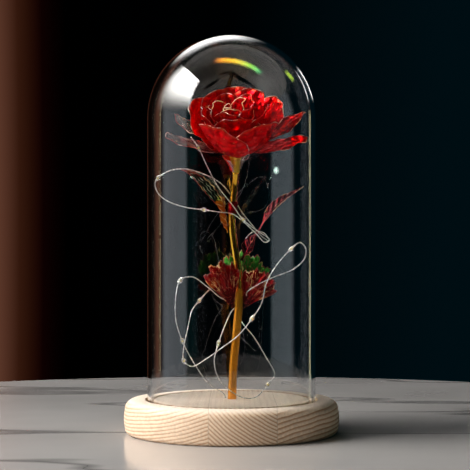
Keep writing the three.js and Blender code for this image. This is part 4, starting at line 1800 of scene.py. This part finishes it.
@dataclass(frozen=True)
class Petal:
    """One petal, by the same rule as its solid.

    The azimuth says where it stands round the whorl. The base is the radius and height where it starts, and
    the lean is in degrees at its base, its middle and its rim. Half is half its greatest width, which narrows
    at its base to the waist's share, and its far end is rounded off by a share of its length, with a power.
    It laps its neighbour, turns round the whorl by at most so many degrees on each side, and its whorl bows
    aside by some degrees. The count is that of its ring's petals, or 0 for one that stands alone.
    """

    name: str
    azimuth: float
    base: Pair
    lean: tuple[float, float, float]
    length: float
    half: float
    waist: float = 0.16
    round: float = 0.34
    power: float = 1.7
    lap: float = 0.4
    most_turn: float = 60
    bow: float = 0.0
    count: int = 0
    seed: int = 0
    wave: float = 0.8
    roll: float = 1.1
    relief: float = 0.46
    crease_lines: float = 4.0
    steps: tuple[int, int] = (44, 52)
    rim_from: float = 0.35
    rim_points: tuple[int, int] = (30, 90)

    def lean_at(self, u: Array) -> Array:
        """Returns the lean in radians at a share of the length."""
        low, middle, high = (math.radians(part) for part in self.lean)
        return np.where(u < 0.5, low + (middle - low) * 2 * u, middle + (high - middle) * (2 * u - 1) ** 2)

    def run(self, u: Array) -> tuple[Array, Array]:
        """Follows the petal's middle line.

        Args:
            u: The share of its length.

        Returns:
            The radius and the height there.
        """
        steps = 16
        radius = np.full_like(u, self.base[0])
        height = np.full_like(u, self.base[1])
        for i in range(steps):
            angle = self.lean_at(u * (i + 0.5) / steps)
            radius = radius + np.sin(angle) * u * self.length / steps
            height = height + np.cos(angle) * u * self.length / steps
        return radius, height

    def surface(self, s: Array, q: Array) -> Array:
        """Places the petal's points, creased, and waved and rolled at its rim.

        Args:
            s: The place along the petal, from 0 to 1.
            q: The place across it, from -1 to 1.

        Returns:
            The points in the whorl's frame.
        """
        u = s * (1 - self.round * np.abs(q) ** self.power)
        radius, height = self.run(u)
        angle = self.lean_at(u)
        width = self.half * (self.waist + (1 - self.waist) * np.sin(math.pi / 2 * np.minimum(1, u / 0.6)))
        base_turn = 162 / self.count if self.count else self.most_turn
        most = base_turn + (self.most_turn - base_turn) * smooth(u, 0.15, 0.5)
        turn = np.minimum(width / radius, np.radians(most))
        phase = self.seed * 1.7
        edge = smooth(s, 0.55, 1.0)
        wave = self.wave * edge * np.sin(5.2 * q + phase) + 0.5 * edge * np.sin(11 * q + 2 * phase)
        roll = self.roll * smooth(s, 0.8, 1.0) ** 2
        relief = self.relief * smooth(s, 0.05, 0.4) * creases(s, q, 100 + self.seed, self.crease_lines)
        proud = self.lap * q * smooth(u, 0, 0.2) + wave + roll + relief
        around = math.radians(self.azimuth) + q * turn
        return polar(radius + proud * np.cos(angle), around, height - proud * np.sin(angle))


@dataclass(frozen=True)
class Bud:
    """The rolled innermost petal. Its top falls as it turns outwards, and it bows aside by some degrees."""

    bottom: float = 4.0
    top: float = 31.0
    fall: float = 3.0
    turns: float = 2.0
    bow: float = 11.0
    core: float = 1.2
    rim: float = 0.32
    steps: tuple[int, int] = (150, 30)

    def surface(self, s: Array, q: Array) -> Array:
        """Places the roll's points.

        Args:
            s: The place round the roll outwards, from 0 to 1.
            q: The place from its bottom to its top, from -1 to 1.

        Returns:
            The points in the whorl's frame.
        """
        around, up = 2 * math.pi * self.turns * s, (q + 1) / 2
        out = self.core + self.turns * s + np.sin(math.pi * up) * (0.3 + 0.7 * s) - 1.3 * s * (1 - up)
        out = out + 0.3 * up**3 * np.sin(2.5 * around + 1) + 0.12 * creases(s, q, 7, 6) * s
        rise = self.top - self.fall * s - self.bottom
        height = self.bottom + rise * up + 0.5 * up**4 * np.sin(1.5 * around)
        return polar(out, around, height)

    def make(self, flower: Array, red: Material, edge: Material, bead: Bead) -> None:
        """Makes the bud.

        Args:
            flower: The flower's frame.
            red: The finish of its film.
            edge: The finish of its rim.
            bead: The tree that lays the rim.
        """
        whorl = flower @ turn_y(-self.bow)
        roll = film("film_bud", lambda s, q: placed(self.surface(s, q), whorl), *self.steps, PETAL_FILM)
        s = np.linspace(0, 1, self.steps[0])
        rim = bead.lay(placed(self.surface(s, np.ones_like(s)), whorl), self.rim, edge)
        finished(object_of("film_bud", joined(roll, rim), red, edge), "red_film", "bud")


# One petal of each ring; the others stand at equal angles from it
RINGS = (
    Petal("petal_inner", 30, (2.2, 2.6), (24, 6, 11), 29.5, 7.6, 0.18, 0.24, 2.4, 0.75, 80, bow=10, count=3),
    Petal("petal_middle", 40, (2.9, 1.8), (39, 10, 14), 31.5, 10.5, 0.14, 0.26, 2.4, 0.8, bow=6.8, count=5),
    Petal("petal_main", 54, (3.6, 1.05), (68, 16, 12), 35.5, 15, 0.16, 0.26, 2.6, 0.9, bow=3.2, count=5),
    Petal("petal_guard", 18, (4.3, 0.3), (84, 26, 14), 37.5, 17.5, 0.2, 0.26, 2.8, 1.0, bow=1.5, count=5),
)
OUTER = (
    Petal("petal_outer_right_upper", 26, (5, -0.6), (74, 68, 58), 43, 6.5),
    Petal("petal_outer_right_lower", 1, (5.6, -1.5), (80, 73, 62), 36.5, 7.5),
    Petal("petal_outer_left_upper", 152, (5, -0.6), (74, 70, 60), 40, 5),
    Petal("petal_outer_left_lower", 182, (5.6, -1.5), (80, 68, 52), 38.5, 5),
    Petal("petal_outer_back", 88, (5, -0.6), (79, 62, 50), 41, 12.5),
)


@dataclass(frozen=True)
class Flower:
    """The bloom: a rolled bud, four rings of petals and five open outer ones."""

    tilt: float = 35.0
    shift: float = 0.8
    scale: float = 0.9
    bud: Bud = Bud()
    rings: tuple[Petal, ...] = RINGS
    outer: tuple[Petal, ...] = OUTER
    opening: float = 16.0
    uneven: float = 4.0
    rim: float = 0.17
    inner_rim: float = 0.23

    def petals(self) -> list[Petal]:
        """Returns every petal, ring by ring. Those at the back open wider than those at the front."""
        found: list[Petal] = []
        for first in self.rings:
            for i in range(first.count):
                seed = len(found) + 1
                azimuth = first.azimuth + 360 * i / first.count + self.uneven * math.sin(2.3 * seed)
                back = math.sin(math.radians(azimuth))
                low, middle, high = first.lean
                lean = (low, middle + 0.15 * self.opening * back, high + self.opening * back)
                name = f"{first.name}_{i + 1}"
                found.append(replace(first, name=name, azimuth=azimuth, lean=lean, seed=seed))
        for petal in self.outer:
            found.append(replace(petal, seed=len(found) + 1))
        return found

    def make(self, calyx_frame: Array, length: float, kit: Finishes, bead: Bead) -> None:
        """Makes the bud and the petals.

        Args:
            calyx_frame: The frame at the top of the stem.
            length: How far along it the flower's own frame starts.
            kit: The finishes of the film and its rims.
            bead: The tree that lays the rims.
        """
        centre = placed(np.array([self.shift, 0, length]), calyx_frame)
        flower = moved(centre) @ turn_x(self.tilt) @ np.diag([self.scale, self.scale, self.scale, 1.0])
        self.bud.make(flower, kit.red, kit.gold_rim, bead)
        for petal in self.petals():
            self.make_petal(petal, flower @ turn_y(-petal.bow), kit, bead)

    def make_petal(self, petal: Petal, whorl: Array, kit: Finishes, bead: Bead) -> None:
        """Makes one petal with its sealed rim.

        Args:
            petal: The petal.
            whorl: The frame that it stands in.
            kit: The finishes of the film and its rims.
            bead: The tree that lays the rim.
        """
        sheet = film(petal.name, lambda s, q: placed(petal.surface(s, q), whorl), *petal.steps, PETAL_FILM)
        edge, radius = (kit.gold_rim, self.inner_rim) if "inner" in petal.name else (kit.rim, self.rim)
        line = petal.surface(*rim_line(petal.rim_from, *petal.rim_points))
        rim = bead.lay(placed(line, whorl), radius, edge)
        finish = kit.red
        if "outer_left" in petal.name:
            finish = kit.pale
        elif "right_upper" in petal.name:
            finish = kit.wine
        name = petal.name.replace("petal", "film_petal")
        finished(object_of(name, joined(sheet, rim), finish, edge), "red_film", petal.name)


# The leaves


@dataclass(frozen=True)
class LongLeaf:
    """A long leaf of two leaflets on one stalk, pleated along slanting ribs, by the same rule as its solid.

    The roll is in degrees at its foot and tip. Each leaflet is given by the shares of the length where it
    starts and ends, and by half its width. The pleats rise by so many millimetres, and the leaf folds back on
    both sides of its middle by a share of its width. The second leaflet may branch off beside the first one.
    """

    name: str
    route: tuple[Point, ...]
    roll: Pair
    leaflets: tuple[tuple[float, float, float], ...]
    ribs: int
    pleat: float
    tone: LeafTone
    seed: int
    fold: float = 0.25
    branch: float = 0.0
    branch_at: float = 0.38
    stalk: float = 0.8
    rim: float = 0.14
    vein: float = 0.22
    relief: float = 0.2
    steps: tuple[int, int] = (240, 24)

    def surface(self, s: Array, q: Array) -> Array:
        """Places the leaf's points.

        Args:
            s: The place along the leaf, from 0 to 1.
            q: The place across it, from -1 to 1.

        Returns:
            The points.
        """
        path = even_path(smooth_path(self.route, 24), 0.2)
        tangent = np.gradient(path, axis=0)
        tangent /= np.linalg.norm(tangent, axis=1, keepdims=True)
        side = np.cross([0.0, -1.0, 0.0], tangent)
        side /= np.linalg.norm(side, axis=1, keepdims=True)
        share = np.linspace(0, 1, len(path))
        aside = self.branch * np.minimum(share / self.branch_at, 1) * (1 - smooth(share, 0.5, 1.0))
        path = path + side * aside[:, None]
        turn = np.radians(self.roll[0] + (self.roll[1] - self.roll[0]) * share)[:, None]
        side = side * np.cos(turn) + np.cross(tangent, side) * np.sin(turn)
        normal = np.cross(tangent, side)

        def along(values: Array) -> Array:
            """Returns values of the path's points at s."""
            return np.stack([np.interp(s, share, values[:, axis]) for axis in range(3)], axis=-1)

        half = self.stalk * (1 - 0.6 * s)
        for start, end, widest in self.leaflets:
            t = np.clip((s - start) / (end - start), 0, 1)
            half = np.maximum(half, widest * np.sin(math.pi * t**0.8))
        half = half * (1 + 0.03 * np.abs(q) * np.sin(2 * math.pi * self.ribs * s))
        full = np.minimum(1, half / 3)
        rise = self.pleat * full * ramps(self.ribs * s - 0.9 * np.abs(q)) - self.fold * half * np.abs(q)
        rise = rise + self.relief * full * creases(s, q, self.seed, 5)
        return along(path) + along(side) * (q * half)[..., None] + along(normal) * rise[..., None]

    def make(self, edge: Material, bead: Bead) -> None:
        """Makes the leaf with its sealed rim and its middle vein.

        Args:
            edge: The finish of rim and vein.
            bead: The tree that lays them.
        """
        finish = LeafFinish(self.tone, self.ribs, lengthwise=self.tone is LeafTone.EMBER).make()
        sheet = film(self.name, self.surface, *self.steps, LEAF_FILM)
        up = np.linspace(0.02, 1, 200)
        down = np.linspace(1, 0.02, 200)[1:]
        s, q = np.concatenate([up, down]), np.concatenate([-np.ones(len(up)), np.ones(len(down))])
        rim = bead.lay(self.surface(s, q), self.rim, edge)
        middle = np.linspace(0, 0.98, 160)
        vein = bead.lay(self.surface(middle, np.zeros_like(middle)), self.vein, edge)
        name = self.name.replace("leaf", "film_leaf")
        finished(object_of(name, joined(sheet, rim, vein), finish, edge), "leaf_film", self.name)


@dataclass(frozen=True)
class FanLeaf:
    """A fan leaf, pleated along ribs that spread from its root, by the same rule as its solid.

    It aims upwards from +X by so many degrees, spreads by others to each side, and reaches so far. The slope
    tips it back, the cup bends its sides, and it has so many ribs on each side of its middle.
    """

    name: str
    root: Point
    aim: float
    spread: float
    reach: float
    slope: float
    cup: float
    tone: LeafTone
    seed: int
    ribs: int = 2
    pleat: float = 0.8
    rim: float = 0.24
    vein: float = 0.17
    relief: float = 1.2
    crease_lines: float = 7
    curl: float = 1.5
    steps: tuple[int, int] = (80, 120)
    rim_from: float = 0.1
    rim_points: tuple[int, int] = (40, 220)

    def surface(self, s: Array, q: Array) -> Array:
        """Places the leaf's points.

        Args:
            s: The place outwards from the root, from 0 to 1.
            q: The place across the fan, from -1 to 1.

        Returns:
            The points.
        """
        tooth = np.abs(2 * (self.ribs * q - np.floor(self.ribs * q)) - 1)
        uneven = 0.05 * np.sin(2.1 * math.pi * self.ribs * q + self.seed)
        uneven = uneven + 0.018 * np.sin(9 * math.pi * self.ribs * q)
        rim = 1 - 0.2 * q * q - 0.13 * tooth**8 * s + uneven * s * s
        out = self.reach * s * rim + 0.6
        turn = np.radians(self.aim - q * self.spread * (0.45 + 0.55 * np.sqrt(s)))
        depth = (self.slope + self.cup * q * q) * out + self.pleat * s * (1 - 2 * tooth**1.5)
        depth = depth + self.relief * s * creases(s, q, self.seed, self.crease_lines)
        depth = depth - self.curl * smooth(s, 0.6, 1.0) ** 2 * np.sin(5 * math.pi * q + self.seed)
        side = q * 0.8 * np.sin(turn)
        x, y, z = self.root
        return np.stack([x + out * np.cos(turn) + side, y + depth, z + out * np.sin(turn)], axis=-1)

    def veins(self) -> list[tuple[Array, Array]]:
        """Returns each vein as its s and q: one for each lobe, and side veins that curve out to its edges."""
        random = np.random.default_rng(self.seed)
        found = []
        t = np.linspace(0, 1, 24)
        for lobe in range(-self.ribs, self.ribs):
            middle = (lobe + 0.5) / self.ribs
            bend = random.uniform(-0.09, 0.09)
            found.append((0.3 + 0.64 * t, middle + bend * np.sin(2.5 * math.pi * t)))
            found.append((0.5 + 0.46 * t, middle + 0.5 / self.ribs + 0.04 * np.sin(9 * t + lobe)))
            for start in (0.46, 0.62, 0.74):
                for hand in (-1, 1):
                    reach = random.uniform(0.26, 0.44) / self.ribs
                    begin = start + random.uniform(-0.06, 0.06)
                    hook = random.uniform(0.12, 0.2) * np.sin(random.uniform(1.8, 2.8) * t)
                    found.append((begin + hook, middle + bend * np.sin(2 * begin) + hand * reach * t**0.8))
        return found

    def make(self, edge: Material, bead: Bead) -> None:
        """Makes the leaf, its sealed rim and its veins.

        Args:
            edge: The finish of rim and veins.
            bead: The tree that lays them.
        """
        sheet = film(self.name, self.surface, *self.steps, LEAF_FILM)
        lines = [bead.lay(self.surface(*rim_line(self.rim_from, *self.rim_points)), self.rim, edge)]
        lines += [bead.lay(self.surface(s, np.clip(q, -1, 1)), self.vein, edge) for s, q in self.veins()]
        name = self.name.replace("leaf", "film_leaf")
        leaf = object_of(name, joined(sheet, *lines), LeafFinish(self.tone).make(), edge)
        finished(leaf, "leaf_film", self.name)


LEAVES = (
    LongLeaf(
        "leaf_upper_left",
        ((-1.9, 2.9, 107), (-6.5, 4.4, 116.2), (-11.5, 5.2, 125.5), (-19.5, 5, 137), (-27.2, 4, 141.2)),
        (76, 40), ((0.02, 0.4, 4.6), (0.22, 0.95, 7)), 13, 0.3, LeafTone.EMBER, 61, branch=-5.0,
    ),
    LongLeaf(
        "leaf_upper_right",
        ((5.5, 2.3, 92), (9.4, 1.4, 99.5), (14.4, 0.1, 107.8), (22.5, -0.6, 120), (38.6, -1.5, 131.6)),
        (140, 101), ((0.06, 0.31, 4.6), (0.44, 1, 4.4)), 15, 0.14, LeafTone.WINE, 62,
    ),
    FanLeaf("leaf_lower_left", (0.9, -0.2, 66), 108, 26, 25, -0.2, 0.1, LeafTone.FAN, 63),
    FanLeaf("leaf_lower_right", (6.0, 0, 66), 57, 31, 22.5, 0.03, 0.1, LeafTone.FAN, 64),
    FanLeaf("leaf_lower_back", (3.9, 4.2, 65), 84, 33, 30.5, 0.06, -0.03, LeafTone.MOSS, 65),
)


def main() -> None:
    """Builds the studio and the object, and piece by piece."""
    logging.basicConfig(level=logging.INFO, format="%(message)s")
    studio = Studio()
    studio.make_camera()
    LightString().make()
    turning, bead = Turning(), Bead()
    Base().make(turning)
    Dome().make(turning)
    kit = Finishes()
    stem = Stem()
    stem.make(kit, bead)
    Flower().make(stem.calyx_frame(), stem.length, kit, bead)
    for leaf in LEAVES:
        leaf.make(kit.leaf_rim, bead)
    studio.make_surroundings(turning)


if __name__ == "__main__":
    main()
